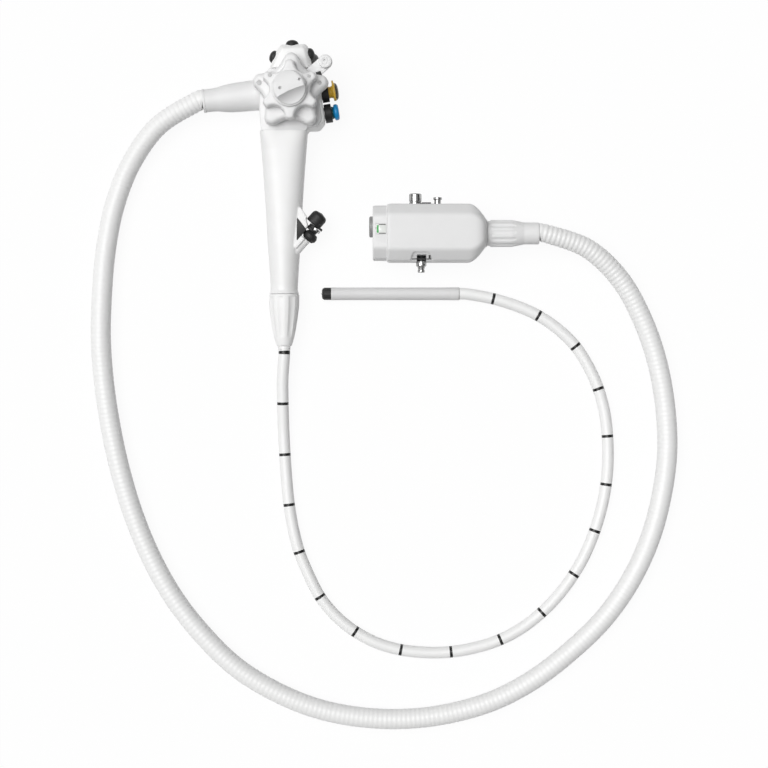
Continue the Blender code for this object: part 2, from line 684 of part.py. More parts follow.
def make_knobs(white, grey, steel):
    hub_top, axle_top = make_chassis(steel)
    rl_foot = hub_top + CLEARANCE
    ud_foot = rl_foot + DRUM_HEIGHT + 2 * CLEARANCE
    rl_radius = rl_shaft_radius()
    ud_radius = ud_shaft_radius()
    rl_shaft = add_part("rl_shaft", turned(drum_profile(
        AXLE_RADIUS + CLEARANCE, rl_radius, rl_foot, RL_KNOB_Z + RL_KNOB_HEIGHT - CLEARANCE),
        14, closed=True), steel)
    ud_shaft = add_part("ud_shaft", turned(drum_profile(
        rl_radius + CLEARANCE, ud_radius, ud_foot, UD_KNOB_Z + UD_KNOB_HEIGHT - CLEARANCE),
        14, closed=True), steel)
    ud_knob = make_knob(
        "ud_knob", white,
        lobed_outline(UD_KNOB_RADIUS, UD_KNOB_LOBES, UD_SCALLOP_RADIUS, UD_SCALLOP_CENTRE,
                      -math.pi / 2),
        UD_KNOB_Z, UD_KNOB_HEIGHT, ud_radius + CLEARANCE, UD_KNOB_RADIUS - 5.5 * MM,
        (radians(18), radians(162)))
    rl_knob = make_knob(
        "rl_knob", white,
        lobed_outline(RL_KNOB_RADIUS, RL_KNOB_LOBES, RL_SCALLOP_RADIUS, RL_SCALLOP_CENTRE, 0),
        RL_KNOB_Z, RL_KNOB_HEIGHT, rl_radius + CLEARANCE, RL_KNOB_RADIUS - 5.5 * MM,
        (radians(30), radians(150)))
    hang_on(ud_shaft, ud_knob)
    hang_on(rl_shaft, rl_knob)
    make_brakes(white, grey, axle_top)


def make_brakes(white, grey, axle_top):
    low = HEAD_DEPTH + CLEARANCE
    inner = BOSS_RADIUS + CLEARANCE
    lever = add_part("ud_brake_lever", turned(tube_profile(
        inner + LEVER_RING_WIDTH, inner, 0, BOSS_TOP - low), 24, closed=True), grey)
    start = inner + LEVER_RING_WIDTH / 2
    arm = [(start, LEVER_HALF_WIDTH), (start, -LEVER_HALF_WIDTH)]
    for step in range(9):
        turn = math.pi * (step / 8 - 0.5)
        arm.append((LEVER_REACH + cos(turn) * LEVER_HALF_WIDTH, sin(turn) * LEVER_HALF_WIDTH))
    plate = add_part("lever_arm", prism(arm, CLEARANCE, LEVER_PLATE))
    tab = add_part("lever_tab", turned([
        (0, LEVER_TAB_HEIGHT - 1.2 * MM), (2 * MM, LEVER_TAB_HEIGHT - 1.2 * MM),
        (3.4 * MM, LEVER_TAB_HEIGHT), (LEVER_TAB_RADIUS - 1.6 * MM, LEVER_TAB_HEIGHT),
        (LEVER_TAB_RADIUS, LEVER_TAB_HEIGHT - 1.6 * MM), (LEVER_TAB_RADIUS, 0.5 * LEVER_PLATE),
        (0, 0.5 * LEVER_PLATE),
    ], 20))
    tab.location = (LEVER_REACH, 0, 0)
    for piece in (plate, tab):
        join(lever, piece)
        hang_on(piece, lever)
    lever.location = (0, 0, low)
    lever.rotation_euler = (0, 0, LEVER_ANGLE)

    flange_top = BRAKE_FLANGE
    step = BRAKE_KNOB_HEIGHT - BRAKE_STEP_DEPTH
    knob = add_part("rl_brake_knob", turned([
        (0, BRAKE_KNOB_HEIGHT), (BRAKE_KNOB_RADIUS - 2.2 * MM, BRAKE_KNOB_HEIGHT),
        (BRAKE_KNOB_RADIUS - 0.7 * MM, BRAKE_KNOB_HEIGHT - 0.7 * MM),
        (BRAKE_KNOB_RADIUS, BRAKE_KNOB_HEIGHT - 2.2 * MM), (BRAKE_KNOB_RADIUS, flange_top),
        (BRAKE_FLANGE_RADIUS - MM, flange_top), (BRAKE_FLANGE_RADIUS, flange_top - MM),
        (BRAKE_FLANGE_RADIUS, 0), (0, 0),
    ], 24), grey)
    side = BRAKE_KNOB_RADIUS + MM
    for number, sign in enumerate((-1, 1)):
        edge, far = sign * BRAKE_BAR_HALF_WIDTH, sign * side
        notch = add_part(f"brake_notch_{number + 1}", block(
            (-side, min(edge, far), step), (side, max(edge, far), BRAKE_KNOB_HEIGHT + MM)))
        cut(knob, notch)
        hang_on(notch, knob)
    pins = bmesh.new()
    for sign in (-1, 1):
        bmesh.ops.create_cone(
            pins, cap_ends=True, segments=10, radius1=1.1 * MM, radius2=1.4 * MM, depth=2 * MM,
            matrix=Matrix.Translation((sign * BRAKE_PIN_OFFSET, 0, BRAKE_KNOB_HEIGHT)))
    marks = add_part("brake_knob_marks", pins)
    bore = add_part("brake_knob_bore", rod(
        AXLE_RADIUS + CLEARANCE, -MM, axle_top - BRAKE_KNOB_Z + CLEARANCE, 16))
    for piece in (marks, bore):
        cut(knob, piece)
        hang_on(piece, knob)
    knob.location = (0, 0, BRAKE_KNOB_Z)
    knob.rotation_euler = (0, 0, BRAKE_BAR_ANGLE)


def make_stop_block(black):
    """Rubber stop for the brake lever, on the short slanted wall of the head."""
    top = Vector((HEAD_TOP_HALF, HEAD_TOP_Y, 0))
    wall = (top - VALVE_WALL_HIGH).normalized()
    outward = Vector((wall.y, -wall.x, 0))
    middle = VALVE_WALL_HIGH.lerp(top, 0.5) + outward * CLEARANCE
    half = wall * STOP_BLOCK_WIDTH / 2
    corners = [middle - half, middle - half + outward * STOP_BLOCK_REACH,
               middle + half + outward * STOP_BLOCK_REACH, middle + half]
    stop = add_part("lever_stop_block", prism(corners, STOP_BLOCK_LOW, STOP_BLOCK_HIGH), black)
    bevel(stop, 0.6 * MM, 2, 60)


# Valves

def make_valve(name, distance, black, steel, colour, button_profile, button_base):
    seat = valve_seat(distance)
    cylinder = add_part(f"{name}_cylinder", turned(tube_profile(
        CYLINDER_RADIUS, CYLINDER_BORE, -CYLINDER_INSIDE, COLLAR_FLOOR - CLEARANCE),
        20, closed=True), steel)
    collar = add_part(f"{name}_collar", turned([
        (COLLAR_RADIUS - 0.8 * MM, COLLAR_LENGTH), (COLLAR_RADIUS, COLLAR_LENGTH - 0.8 * MM),
        (COLLAR_RADIUS, CLEARANCE), (CYLINDER_RADIUS + CLEARANCE, CLEARANCE),
        (CYLINDER_RADIUS + CLEARANCE, COLLAR_FLOOR), (COLLAR_POCKET, COLLAR_FLOOR),
        (COLLAR_POCKET, COLLAR_LENGTH),
    ], 20, closed=True), black)
    radius = CYLINDER_BORE - CLEARANCE
    waist = 0.6 * radius
    top = button_base + 2 * MM
    foot = 2 * MM - CYLINDER_INSIDE
    piston = add_part(f"{name}_piston", turned([
        (0, top), (radius, top), (radius, -5 * MM), (waist, -5.6 * MM), (waist, foot + 3 * MM),
        (radius, foot + 2.4 * MM), (radius, foot), (0, foot),
    ], 14), steel)
    button = add_part(f"{name}_button", turned(button_profile, 20), colour)
    bore = add_part(f"{name}_button_bore", rod(
        radius + CLEARANCE, button_base - MM, top + CLEARANCE, 16))
    cut(button, bore)
    for piece in (cylinder, collar, piston, button, bore):
        aim(piece, seat, VALVE_DIRECTION)
    hang_on(piston, button)


def make_valves(black, steel, yellow, blue):
    neck = COLLAR_LENGTH - MM
    flange = COLLAR_LENGTH + VALVE_TRAVEL + CLEARANCE
    top = flange + SUCTION_FLANGE + SUCTION_TOP
    make_valve("suction", AIR_WATER_VALVE_AT + VALVE_SPACING, black, steel, yellow, [
        (0, top), (0.62 * SUCTION_FLANGE_RADIUS, top - 0.4 * MM),
        (0.88 * SUCTION_FLANGE_RADIUS, top - 1.5 * MM),
        (0.94 * SUCTION_FLANGE_RADIUS, flange + SUCTION_FLANGE),
        (SUCTION_FLANGE_RADIUS, flange + SUCTION_FLANGE - 0.4 * MM),
        (SUCTION_FLANGE_RADIUS, flange), (SUCTION_NECK_RADIUS, flange),
        (SUCTION_NECK_RADIUS, neck), (0, neck),
    ], neck)
    base = COLLAR_LENGTH + 0.6 * MM
    crown = base + AIR_WATER_BUTTON_LENGTH
    radius = AIR_WATER_BUTTON_RADIUS
    make_valve("air_water", AIR_WATER_VALVE_AT, black, steel, blue, [
        (0, crown - 0.5 * MM), (0.5 * radius, crown - 0.4 * MM), (0.8 * radius, crown),
        (radius - 0.5 * MM, crown - 0.6 * MM), (radius, crown - 1.8 * MM),
        (radius, base + MM), (radius - MM, base), (0, base),
    ], base)


# Grip and instrument channel port

def grip_loop(share, width, depth, squareness):
    """Cross section of the grip, which lies flat on the table all along."""
    return [
        Vector((GRIP_AXIS_X + point.x, HEAD_BOTTOM_Y - share * GRIP_LENGTH, depth / 2 + point.y))
        for point in oval(width, depth, squareness)
    ]


def port_point(along, aside=0.0, height=0.0):
    return PORT_FOOT + PORT_DIRECTION * along + PORT_SIDE * aside + Vector((0, 0, height))


def make_grip(white, black):
    grip = add_part("grip_housing", loft([grip_loop(*section) for section in GRIP_SECTIONS]), white)
    lift = Vector((0, 0, GRIP_WALL))
    hollow = [
        [point + lift for point in grip_loop(share, width - 2 * GRIP_WALL, depth - 2 * GRIP_WALL, square)]
        for share, width, depth, square in GRIP_SECTIONS
    ]
    for loop, step in ((hollow[0], MM), (hollow[-1], -MM)):
        for point in loop:
            point.y += step
    sleeve = add_part("port_sleeve", rod(PORT_SLEEVE_RADIUS, 0, PORT_SLEEVE_LENGTH, 24))
    aim(sleeve, PORT_FOOT, PORT_DIRECTION)
    beside_ring = PORT_RING_OFFSET + PORT_RING_RADIUS + 0.5 * MM
    beside_cap = BIOPSY_CAP_OFFSET + BIOPSY_CAP_RADIUS
    cap_base = port_cap_base()
    low = PORT_FOOT.z - PORT_WEB_THICKNESS / 2
    high = PORT_FOOT.z + PORT_WEB_THICKNESS / 2
    corners = [
        port_point(MM), port_point(PORT_SLEEVE_LENGTH - 0.2 * MM),
        port_point(PORT_SLEEVE_LENGTH - 0.2 * MM, beside_ring),
        port_point(cap_base - 4.6 * MM, beside_ring),
        port_point(cap_base - 0.5 * MM, beside_cap + 0.1 * MM),
        port_point(cap_base + 1.6 * MM, beside_cap + 0.9 * MM),
        PORT_FOOT + Vector((5.8 * MM, 41.6 * MM, 0)), PORT_FOOT + Vector((-1.8 * MM, 42.6 * MM, 0)),
        PORT_FOOT + Vector((-3.8 * MM, 5.6 * MM, 0)),
    ]
    web = add_part("port_web", prism(corners, low, high))
    inside = add_part("grip_hollow", loft(hollow))
    triangle = [
        PORT_FOOT.xy + Vector(corner) * MM for corner in ((1.6, 31.6), (1, 10), (8.4, 20.4))
    ]
    recess = add_part("web_recess", prism(triangle, high - INSERT_DEPTH, high + 2 * MM))
    channel = add_part("channel_bore", rod(CHANNEL_RADIUS, -6 * MM, PORT_SLEEVE_LENGTH + MM, 12))
    aim(channel, PORT_FOOT, PORT_DIRECTION)
    join(grip, sleeve)
    join(grip, web)
    for cutter in (inside, recess, channel):
        cut(grip, cutter)
    middle = sum(triangle, Vector((0, 0))) / 3
    inset = [middle + (point - middle) * 0.93 for point in triangle]
    add_part("port_web_insert", prism(inset, high - INSERT_DEPTH + CLEARANCE, high + 0.3 * MM), black)


def port_cap_base():
    lengths = (PORT_SLEEVE_LENGTH, PORT_RING_LENGTH, MOUTHPIECE_LENGTH, BIOPSY_BODY_LENGTH)
    return sum(length + CLEARANCE for length in lengths)


def make_port(black, steel):
    base = PORT_SLEEVE_LENGTH + CLEARANCE
    ring = add_part("port_base_ring", turned([
        (0, PORT_RING_LENGTH), (PORT_RING_RADIUS - 2 * MM, PORT_RING_LENGTH),
        (PORT_RING_RADIUS, PORT_RING_LENGTH - 3 * MM), (PORT_RING_RADIUS, 3 * MM),
        (PORT_RING_RADIUS - 2 * MM, 0.4 * MM), (PORT_RING_RADIUS - 3.4 * MM, 0), (0, 0),
    ], 20), black)
    aim(ring, port_point(base, PORT_RING_OFFSET), PORT_DIRECTION)
    bore = add_part("base_ring_bore", rod(CHANNEL_RADIUS + MM, -MM, PORT_RING_LENGTH + MM, 12))
    aim(bore, port_point(base), PORT_DIRECTION)
    cut(ring, bore)
    base += PORT_RING_LENGTH + CLEARANCE
    mouth = add_part("channel_mouthpiece", turned([
        (MOUTHPIECE_RADIUS - 0.4 * MM, MOUTHPIECE_LENGTH), (MOUTHPIECE_RADIUS, MOUTHPIECE_LENGTH - 0.4 * MM),
        (MOUTHPIECE_RADIUS, 0.4 * MM), (MOUTHPIECE_RADIUS - 0.4 * MM, 0),
        (CHANNEL_RADIUS + 0.5 * MM, 0), (CHANNEL_RADIUS + 0.5 * MM, MOUTHPIECE_LENGTH),
    ], 18, closed=True), steel)
    aim(mouth, port_point(base), PORT_DIRECTION)
    base += MOUTHPIECE_LENGTH + CLEARANCE
    body = add_part("biopsy_valve_body", turned([
        (BIOPSY_BODY_RADIUS - 0.6 * MM, BIOPSY_BODY_LENGTH),
        (BIOPSY_BODY_RADIUS, BIOPSY_BODY_LENGTH - 0.6 * MM),
        (BIOPSY_BODY_RADIUS, 0), (BIOPSY_HOLE, 0), (BIOPSY_HOLE, BIOPSY_BODY_LENGTH),
    ], 18, closed=True), black)
    aim(body, port_point(base), PORT_DIRECTION)
    make_port_cap(port_cap_base(), black)


def make_port_cap(base, black):
    """Cap of the biopsy valve, with its origin on the crease of its strap."""
    radius, length = BIOPSY_CAP_RADIUS, BIOPSY_CAP_LENGTH
    dome = turned([
        (0, length), (0.5 * radius, length - 0.4 * MM), (0.84 * radius, length - 2 * MM),
        (radius, length - 4.6 * MM), (radius, MM), (radius - MM, 0), (0, 0),
    ], 24)
    bmesh.ops.translate(dome, verts=dome.verts, vec=(BIOPSY_HINGE_OFFSET + BIOPSY_CAP_OFFSET, 0, 0))
    plug_mesh = rod(BIOPSY_HOLE - 0.6 * MM, -2.4 * MM, MM, 14)
    bmesh.ops.translate(plug_mesh, verts=plug_mesh.verts, vec=(BIOPSY_HINGE_OFFSET, 0, 0))
    cap = add_part("biopsy_valve_cap", dome, black)
    plug = add_part("cap_plug", plug_mesh)
    strap = add_part("cap_strap", block(
        (-0.2 * MM, -2.5 * MM, 0), (BIOPSY_HINGE_OFFSET, 2.5 * MM, 2.2 * MM)))
    axes = Matrix((PORT_SIDE, Vector((0, 0, -1)), PORT_DIRECTION)).transposed()
    for piece in (cap, plug, strap):
        piece.matrix_world = Matrix.LocRotScale(port_point(base, -BIOPSY_HINGE_OFFSET), axes, None)
    for piece in (plug, strap):
        join(cap, piece)
        hang_on(piece, cap)


# Boots

def fluted(radius, flutes, depth, sides_per_flute=3):
    """Circle with rounded grooves cut along it."""
    outline = []
    count = flutes * sides_per_flute
    for index in range(count):
        angle = 2 * math.pi * index / count
        groove = depth if index % sides_per_flute == 0 else 0.0
        outline.append(Vector((cos(angle), sin(angle))) * (radius - groove))
    return outline


def boot_mesh(sections, flutes):
    """Loft along +Z through (distance, radius, groove depth) sections."""
    return loft([
        [Vector((point.x, point.y, distance)) for point in fluted(radius, flutes, depth)]
        for distance, radius, depth in sections
    ])


def make_insertion_boot(white, steel):
    start = Vector((GRIP_AXIS_X, BOOT_TOP_Y, BOOT_AXIS_Z))
    slope = (BOOT_RADIUS - BOOT_END_RADIUS)
    boot = add_part("insertion_boot", boot_mesh([
        (0, BOOT_RADIUS - 0.6 * MM, 0), (0.8 * MM, BOOT_RADIUS, 0),
        (2 * MM, BOOT_RADIUS, BOOT_FLUTE_DEPTH), (12 * MM, BOOT_RADIUS - 0.1 * MM, BOOT_FLUTE_DEPTH),
        (23 * MM, BOOT_RADIUS - 0.21 * slope, BOOT_FLUTE_DEPTH),
        (35 * MM, BOOT_RADIUS - 0.46 * slope, BOOT_FLUTE_DEPTH),
        (43 * MM, BOOT_RADIUS - 0.68 * slope, 0), (BOOT_LENGTH - 1.5 * MM, BOOT_END_RADIUS, 0),
        (BOOT_LENGTH, BOOT_END_RADIUS - 0.6 * MM, 0),
    ], BOOT_FLUTES), white)
    aim(boot, start, (0, -1, 0), "X")
    bore = add_part("insertion_boot_bore", rod(
        BOOT_COLLAR_RADIUS - 2 * MM, -MM, BOOT_LENGTH + MM, 16))
    aim(bore, start, (0, -1, 0), "X")
    cut(boot, bore)
    collar = add_part("boot_collar", turned(tube_profile(
        BOOT_COLLAR_RADIUS, BOOT_COLLAR_RADIUS - 2 * MM, BOOT_LENGTH + CLEARANCE,
        BOOT_LENGTH + BOOT_COLLAR_LENGTH), 24, closed=True), steel)
    aim(collar, start, (0, -1, 0), "X")


def make_head_cord_boot(white):
    direction = HEAD_BOOT_END - HEAD_BOOT_ROOT
    length = direction.length
    widening = HEAD_BOOT_RADIUS - HEAD_BOOT_END_RADIUS
    lip = HEAD_BOOT_END_RADIUS + HEAD_BOOT_LIP
    boot = add_part("head_cord_boot", turned([
        (HEAD_BOOT_END_RADIUS, length), (lip, length - 0.8 * MM), (lip, length - 2.4 * MM),
        (HEAD_BOOT_END_RADIUS, length - 3 * MM), (HEAD_BOOT_END_RADIUS, 0.83 * length),
        (HEAD_BOOT_END_RADIUS + 0.13 * widening, 0.75 * length),
        (HEAD_BOOT_END_RADIUS + 0.5 * widening, 0.65 * length),
        (HEAD_BOOT_END_RADIUS + 0.7 * widening, 0.55 * length),
        (HEAD_BOOT_END_RADIUS + 0.9 * widening, 0.25 * length),
        (HEAD_BOOT_RADIUS, 0.06 * length), (HEAD_BOOT_RADIUS, 0),
        (0.5 * CORD_DIAMETER, 0), (0.5 * CORD_DIAMETER, length),
    ], 28, closed=True), white)
    aim(boot, HEAD_BOOT_ROOT, direction)
    wall = HEAD_LEFT_X - CLEARANCE
    cutter = add_part("head_boot_trim", block((wall, -25 * MM, -MM), (wall + 15 * MM, 25 * MM, 45 * MM)))
    cut(boot, cutter)


def straight_ended(start, leaving, points, arriving, end, count):
    """Route whose first and last pieces lie along the given directions."""
    inner = [start + leaving * STRAIGHT_END] + [Vector(point) * MM for point in points]
    inner.append(end - arriving * STRAIGHT_END)
    return [start] + smooth_route(inner, count - 2) + [end]


def make_universal_cord(white):
    direction = (HEAD_BOOT_END - HEAD_BOOT_ROOT).normalized()
    end = Vector((CORD_END_X, CONNECTOR_AXIS_Y, CONNECTOR_AXIS_Z))
    route = straight_ended(HEAD_BOOT_END + direction * CLEARANCE, direction, UNIVERSAL_CORD_ROUTE,
                           Vector((-1, 0, 0)), end, UNIVERSAL_CORD_POINT_COUNT)
    cord_tube("universal_cord", route, CORD_DIAMETER, white)


def make_insertion_tube(white):
    start = Vector((GRIP_AXIS_X, TUBE_START_Y, BOOT_AXIS_Z))
    end = Vector((BEND_START_X + CLEARANCE, BEND_AXIS_Y, BEND_AXIS_Z))
    route = straight_ended(start, Vector((0, -1, 0)), INSERTION_TUBE_ROUTE, Vector((-1, 0, 0)),
                           end, INSERTION_TUBE_POINT_COUNT)
    cord_tube("insertion_tube", route, TUBE_DIAMETER, white)


# Bending section, built in its own frame: X towards the tip, Y up, Z left

def bend_frame(distance=0.0):
    up = Vector((0, -cos(UP_TILT), sin(UP_TILT)))
    left = Vector((0, sin(UP_TILT), cos(UP_TILT)))
    axes = Matrix((Vector((-1, 0, 0)), up, left)).transposed()
    place = Vector((BEND_START_X - distance, BEND_AXIS_Y, BEND_AXIS_Z))
    return Matrix.LocRotScale(place, axes, None)


def ring_vert(angle, radius, along):
    return Vector((along, cos(angle) * radius, sin(angle) * radius))


def ring_shell(start, end, near, far):
    """Thin tube along X with a pair of eyes standing out from its near end. An end
    hinged up and down leans back on the up side, +Y."""
    mesh = bmesh.new()
    near_edge, far_edge = [], []
    for index in range(RING_SIDES):
        angle = 2 * math.pi * index / RING_SIDES
        lean = max(cos(angle), 0) * RING_RADIUS * tan(EDGE_SLOPE)
        near_x = start + (lean if near == "ud" else 0)
        far_x = end - (lean if far == "ud" else 0)
        near_edge.append(mesh.verts.new(ring_vert(angle, RING_RADIUS, near_x)))
        far_edge.append(mesh.verts.new(ring_vert(angle, RING_RADIUS, far_x)))
    for index in range(RING_SIDES):
        mesh.faces.new((near_edge[index - 1], near_edge[index], far_edge[index], far_edge[index - 1]))
    for centre in EYE_SIDES.get(near, ()):
        tips = []
        for step in (-1, 0, 1):
            angle = 2 * math.pi * (centre + step) / RING_SIDES
            tip_x = start - FAR_EDGE - LUG_REACH + abs(step) * 0.35 * LUG_WIDTH
            tips.append(mesh.verts.new(ring_vert(angle, RING_RADIUS, tip_x)))
        for step in (0, 1):
            foot = (near_edge[centre + step], near_edge[centre + step - 1])
            mesh.faces.new((tips[step], tips[step + 1], *foot))
    lining = bmesh.ops.extrude_face_region(mesh, geom=mesh.faces[:], use_keep_orig=True)["geom"]
    for item in lining:
        if isinstance(item, bmesh.types.BMVert):
            item.co.yz = item.co.yz * (1 - RING_WALL / RING_RADIUS)
    return mesh


def tongue_plate(low, shoulder, high):
    """Curved plate on the +Z side of a ring, inside it, with a blunt point at high.
    From low to shoulder it is thick enough to grow out of the ring's wall."""
    outer = RING_RADIUS - RING_WALL - CLEARANCE
    root = RING_RADIUS - 0.2 * RING_WALL
    half = math.asin(LUG_WIDTH / 2 / outer)
    rows = []
    for angle in (-half, 0, half):
        turn = math.pi / 2 + angle
        reach = high if angle == 0 else high - 0.35 * LUG_WIDTH
        rows.append([
            ring_vert(turn, outer - LUG_WALL, low), ring_vert(turn, root, low),
            ring_vert(turn, root, shoulder), ring_vert(turn, outer, shoulder),
            ring_vert(turn, outer, reach), ring_vert(turn, outer - LUG_WALL, reach),
        ])
    return loft(rows)


def turn_about_x(mesh, angle):
    bmesh.ops.rotate(mesh, verts=mesh.verts, cent=(0, 0, 0), matrix=Matrix.Rotation(angle, 3, "X"))
    return mesh


def evaluated_copy(part):
    """Mesh of a part with its modifiers carried out."""
    depsgraph = bpy.context.evaluated_depsgraph_get()
    return bpy.data.meshes.new_from_object(part.evaluated_get(depsgraph))


def link_mesh(name, start, end, surface, near=None, far=None):
    """Ring from start to end along X. near and far are the hinge directions of its
    two ends, "ud" or "rl": the near end carries the eyes, the far end the tongues
    with their rivets."""
    link = add_part(name, ring_shell(start, end, near, far), surface)
    inner = RING_RADIUS - RING_WALL - CLEARANCE
    helpers = []

    def add_helper(mesh, turn, distance, operation):
        bmesh.ops.translate(mesh, verts=mesh.verts, vec=(distance, 0, 0))
        helper = add_part(f"{name}_helper_{len(helpers)}", turn_about_x(mesh, turn))
        boolean(link, helper, operation)
        helpers.append(helper)

    for turn in HINGE_TURNS.get(near, ()):
        hole = rod(RIVET_HOLE, RING_RADIUS - 2 * RING_WALL, RING_RADIUS + MM, 8)
        add_helper(hole, turn, start - FAR_EDGE, "DIFFERENCE")
    for turn in HINGE_TURNS.get(far, ()):
        tongue = tongue_plate(-3 * MM, -0.8 * MM, NEAR_EDGE + LUG_REACH)
        rivet = rod(RIVET_RADIUS, inner - 0.5 * LUG_WALL, RING_RADIUS - 0.1 * RING_WALL, 6)
        add_helper(tongue, turn, end, "UNION")
        add_helper(rivet, turn, end + NEAR_EDGE, "UNION")
    bpy.context.view_layer.update()
    mesh = evaluated_copy(link)
    mesh.name = name
    for thing in [link] + helpers:
        bpy.data.objects.remove(thing, do_unlink=True)
    return mesh


def hinge_kind(index):
    return "ud" if index % 2 == 0 else "rl"


def place_link(name, mesh, distance, parent):
    part = bpy.data.objects.new(name, mesh)
    bpy.context.scene.collection.objects.link(part)
    part.matrix_world = bend_frame(distance)
    if parent:
        hang_on(part, parent)
    return part


def make_bending_section(steel, rubber):
    base = link_mesh("bending_base_mesh", CLEARANCE, FIRST_HINGE - NEAR_EDGE, steel, far="ud")
    body_start = FAR_EDGE
    body_end = HINGE_PITCH - NEAR_EDGE
    kinds = {
        "ud": link_mesh("vertebra_mesh_a", body_start, body_end, steel, near="ud", far="rl"),
        "rl": link_mesh("vertebra_mesh_b", body_start, body_end, steel, near="rl", far="ud"),
    }
    previous = place_link("bending_base_ring", base, 0, None)
    for index in range(HINGE_COUNT - 1):
        distance = FIRST_HINGE + index * HINGE_PITCH
        previous = place_link(f"vertebra_{index + 1}", kinds[hinge_kind(index)], distance, previous)
    last = FIRST_HINGE + (HINGE_COUNT - 1) * HINGE_PITCH
    tip_start = BEND_START_X - BEND_TIP_X - TIP_LENGTH
    body_length = tip_start - CLEARANCE - last
    body = link_mesh("distal_body_mesh", body_start, body_length, steel, near=hinge_kind(HINGE_COUNT - 1))
    previous = place_link("distal_body", body, last, previous)
    cuff = add_part("rubber_cuff_base", turned(tube_profile(
        CUFF_RADIUS, CUFF_BORE, CLEARANCE, CUFF_LENGTH), 20, closed=True), rubber)
    aim(cuff, bend_frame().translation, (-1, 0, 0))
    tip_cuff = add_part("rubber_cuff_tip", turned(tube_profile(
        CUFF_RADIUS, CUFF_BORE, tip_start - CLEARANCE - TIP_CUFF_LENGTH, tip_start - CLEARANCE),
        20, closed=True), rubber)
    aim(tip_cuff, bend_frame().translation, (-1, 0, 0))
    hang_on(tip_cuff, previous)
    return previous


def make_distal_tip(black, glass, steel, carrier):
    radius, length = TIP_RADIUS, TIP_LENGTH
    tip = add_part("distal_tip", turned([
        (0, length), (radius - 2.6 * MM, length), (radius - 0.9 * MM, length - 0.7 * MM),
        (radius, length - 2.4 * MM), (radius, 0), (0, 0),
    ], 20), black)
    start = BEND_START_X - BEND_TIP_X - length
    frame = bend_frame(start) @ Matrix.Rotation(math.pi / 2, 4, "Y")
    places = {
        "objective_lens": (math.pi / 2, OBJECTIVE_RADIUS, glass),
        "light_lens_left": (radians(20), LIGHT_RADIUS, glass),
        "light_lens_right": (radians(160), LIGHT_RADIUS, glass),
    }
    tip.matrix_world = frame
    pieces = []
    for name, (angle, size, surface) in places.items():
        spot = Vector((cos(angle), sin(angle), 0)) * (LENS_RING - size / 2)
        seat = add_part(f"{name}_seat", rod(size + 0.15 * MM, length - LENS_DEPTH, length + MM, 14))
        lens = add_part(name, turned([
            (0, length + 0.1 * MM), (0.7 * size, length), (size, length - 0.25 * MM),
            (size, length - LENS_DEPTH + 0.15 * MM), (0, length - LENS_DEPTH + 0.15 * MM),
        ], 14), surface)
        for piece in (seat, lens):
            piece.matrix_world = frame @ Matrix.Translation(spot)
        cut(tip, seat)
        pieces += [seat, lens]
    channel = add_part("tip_channel", rod(CHANNEL_RADIUS - 0.2 * MM, length - 6 * MM, length + MM, 14))
    channel.matrix_world = frame @ Matrix.Translation((0, -0.55 * LENS_RING, 0))
    cut(tip, channel)
    nozzle = add_part("air_water_nozzle", prism(rounded([
        (-0.9 * MM, -0.5 * MM), (0.9 * MM, -0.5 * MM), (0.9 * MM, 0.5 * MM), (-0.9 * MM, 0.5 * MM),
    ], 0.3 * MM, 2), length - LENS_DEPTH, length + 0.9 * MM), steel)
    slot = add_part("nozzle_seat", block(
        (-1.1 * MM, -0.7 * MM, length - LENS_DEPTH - 0.2 * MM), (1.1 * MM, 0.7 * MM, length + MM)))
    for piece in (nozzle, slot):
        piece.matrix_world = frame @ Matrix.Translation((0, 0.1 * MM, 0))
    cut(tip, slot)
    for piece in pieces + [channel, nozzle, slot]:
        hang_on(piece, tip)
    hang_on(tip, carrier)


# Light source connector, built along +X from its front

def octagon(width, chamfer, steps=1):
    half, flat = width / 2, width / 2 - chamfer
    corners = [
        (half, -flat), (half, flat), (flat, half), (-flat, half),
        (-half, flat), (-half, -flat), (-flat, -half), (flat, -half),
    ]
    return rounded(corners, 4 * MM, steps)


def connector_loop(distance, width):
    chamfer = CONNECTOR_CHAMFER * width / CONNECTOR_WIDTH
    return [
        Vector((CONNECTOR_FRONT_X + distance, CONNECTOR_AXIS_Y + point.x, CONNECTOR_AXIS_Z + point.y))
        for point in octagon(width, chamfer)
    ]


